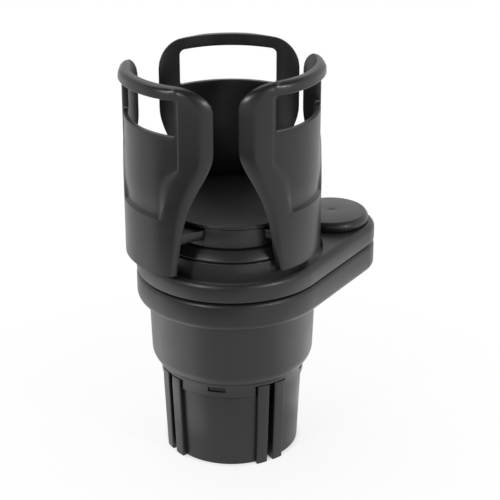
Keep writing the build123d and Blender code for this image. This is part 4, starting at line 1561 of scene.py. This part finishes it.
@dataclass(frozen=True)
class Lamp:
    """Soft square lamp that the camera doesn't see.

    Its place, aim and side are in millimetres and its power in watts. Diffuse is the share of its
    light that reaches matt surfaces.
    """

    name: str
    place: Triple
    towards: Triple
    size: float
    power: float
    diffuse: float = 0.3

    def hang(self) -> None:
        """Put the lamp into the scene."""
        data = bpy.data.lights.new(self.name, "AREA")
        data.size = self.size * METRE
        data.energy = self.power
        data.diffuse_factor = self.diffuse
        lamp = bpy.data.objects.new(self.name, data)
        lamp.visible_camera = False
        lamp.location = Vector(self.place) * METRE
        aim = Vector(self.towards) - Vector(self.place)
        lamp.rotation_mode = "QUATERNION"
        lamp.rotation_quaternion = aim.to_track_quat("-Z", "Y")
        bpy.context.scene.collection.objects.link(lamp)


CUP_MIDDLE = (0.0, 0.0, 105.0)


def in_metres(piece: Object) -> Object:
    """Bring an object's mesh from millimetres to metres and return the object."""
    piece.data.transform(Matrix.Diagonal((METRE, METRE, METRE, 1.0)))
    return piece


@dataclass
class Studio:
    """Pale floor, soft lamps, world and camera."""

    azimuth: float = -33.0
    elevation: float = 24.0
    distance: float = 800.0
    aim_right: float = 9.1
    aim_high: float = 105.0
    focal_pixels: float = 1590.0
    picture_pixels: float = 500.0
    sensor: float = 36.0
    wall_top: float = 28.0
    ceiling_low: float = 58.0
    ceiling: float = 0.28
    dim_side: float = 215.0
    dim_rise: float = 0.3
    dim_reach: Pair = (0.35, 0.95)
    dim_share: float = 0.45
    card_away: float = 300.0
    card_high: float = 90.0
    card_thick: float = 4.0
    card_tones: Pair = (0.02, 0.04)
    card_start: float = 166.0
    card_sweep: float = 81.0
    shadow_near: float = 28.0
    shadow_edge: float = 36.0
    shadow_far: float = 190.0
    shadow_white: float = 0.86
    floor_half: float = 6000.0
    floor_tones: Pair = (0.93, 0.97)
    lamps: tuple[Lamp, ...] = (
        Lamp("top_box", (0.0, 260.0, 760.0), CUP_MIDDLE, 500.0, 1.4, 1.0),
        Lamp("left_spot", (-624.0, -227.0, 447.0), CUP_MIDDLE, 110.0, 1.6),
        Lamp("right_spot", (187.0, -652.0, 424.0), CUP_MIDDLE, 90.0, 1.3),
        Lamp("left_light_table", (-150.0, 70.0, 1.0), (-150.0, 70.0, 100.0), 190.0, 0.09),
        Lamp("right_light_table", (150.0, -70.0, 1.0), (150.0, -70.0, 100.0), 190.0, 0.07),
    )

    def build(self) -> None:
        """Build the floor, the lamps, the world and the camera."""
        self._floor()
        self._world()
        self._card()
        for lamp in self.lamps:
            lamp.hang()
        self._camera()
        bpy.context.scene.view_settings.view_transform = "Standard"

    def _floor(self) -> None:
        """Build the floor: white to the camera, with the object's shadow on it."""
        floor = Solid()
        bmesh.ops.create_grid(floor.bm, x_segments=1, y_segments=1, size=self.floor_half)
        piece = in_metres(floor.as_object("studio_floor"))
        made = bpy.data.materials.new("floor_white")
        nodes = Nodes(made)
        shader = nodes.matt(3.0, self.floor_tones, 0.7)
        away = nodes.measure("LENGTH", {0: nodes.place})
        near = nodes.math("DIVIDE", away, self.shadow_far * METRE)
        share = nodes.add("ValToRGB", {"Fac": near})
        ramp = share.color_ramp
        ramp.elements[0].position = self.shadow_near / self.shadow_far
        ramp.elements[0].color = opaque([0.0] * 3)
        ramp.elements[1].color = opaque([1.0] * 3)
        ramp.elements.new(self.shadow_edge / self.shadow_far).color = opaque([self.shadow_white] * 3)
        path = nodes.add("LightPath")
        seen = path.outputs["Is Camera Ray"]
        for ray in ("Is Glossy Ray", "Is Transmission Ray"):
            seen = nodes.math("ADD", seen, path.outputs[ray])
        white = nodes.math("MULTIPLY", seen, share.outputs["Color"])
        glow = nodes.add("Emission").outputs["Emission"]
        choice = nodes.add("MixShader", {"Fac": white, 1: shader.outputs["BSDF"], 2: glow})
        nodes.feed("Material Output", {"Surface": choice.outputs["Shader"]})
        piece.data.materials.append(made)

    def _card(self) -> None:
        """Stand a dark card in front on the left, which only reflections see: painted shade in the object's
        reflections on that side.
        """
        far = self.card_away + self.card_thick
        profile = [(self.card_away, 0.0), (self.card_away, self.card_high), (far, self.card_high)]
        card = Solid().sweep_profile(profile, self.card_start, self.card_sweep)
        piece = in_metres(card.as_object("studio_card"))
        made = bpy.data.materials.new("card_black")
        # Dark tones that paint shade into the object's reflections only.
        Nodes(made).matt(60.0, self.card_tones, 0.9)
        piece.data.materials.append(made)
        piece.visible_camera = False
        piece.visible_diffuse = False
        piece.visible_shadow = False

    def _world(self) -> None:
        """Surround the scene with white near the horizon and a dimmer ceiling."""
        world = bpy.data.worlds.new("studio_world")
        bpy.context.scene.world = world
        nodes = Nodes(world)
        direction = nodes.coordinates.outputs["Generated"]
        height = nodes.add("SeparateXYZ", {"Vector": direction}).outputs["Z"]
        rise = (sin(radians(self.wall_top)), sin(radians(self.ceiling_low)))
        level = nodes.spread(height, (1.0, self.ceiling), rise, smooth=True)
        side = radians(self.dim_side)
        facing = nodes.measure("DOT_PRODUCT", {0: direction, 1: (cos(side), sin(side), self.dim_rise)})
        dim = nodes.spread(facing, (1.0, self.dim_share), self.dim_reach, smooth=True)
        strength = nodes.math("MULTIPLY", level, dim)
        nodes.feed("Background", {"Color": opaque([1.0] * 3), "Strength": strength})

    def _camera(self) -> None:
        """Set up the camera at the photograph's viewing angle."""
        turn, rise = radians(self.azimuth), radians(self.elevation)
        back = Vector((sin(turn) * cos(rise), -cos(turn) * cos(rise), sin(rise)))
        right = Vector((cos(turn), sin(turn), 0.0))
        data = bpy.data.cameras.new("studio_camera")
        data.sensor_width = self.sensor
        data.lens = self.sensor * self.focal_pixels / self.picture_pixels
        data.clip_end = 20.0
        camera = bpy.data.objects.new("studio_camera", data)
        aim = right * self.aim_right + Vector((0.0, 0.0, self.aim_high))
        camera.location = (aim + back * self.distance) * METRE
        camera.rotation_mode = "QUATERNION"
        camera.rotation_quaternion = (-back).to_track_quat("-Z", "Y")
        bpy.context.scene.collection.objects.link(camera)
        bpy.context.scene.camera = camera


def main() -> None:
    """Build every sub-assembly in order."""
    logging.basicConfig(level=logging.INFO)
    for assembly in (
        Studio(),
        LowerHousing(),
        PlugSegments(),
        TurnKnob(),
        SwingPlate(),
        PivotCap(),
        Hub(),
        Claws(),
        Fixings(),
    ):
        assembly.build()
        LOG.info("built %s", type(assembly).__name__)


if __name__ == "__main__":
    main()
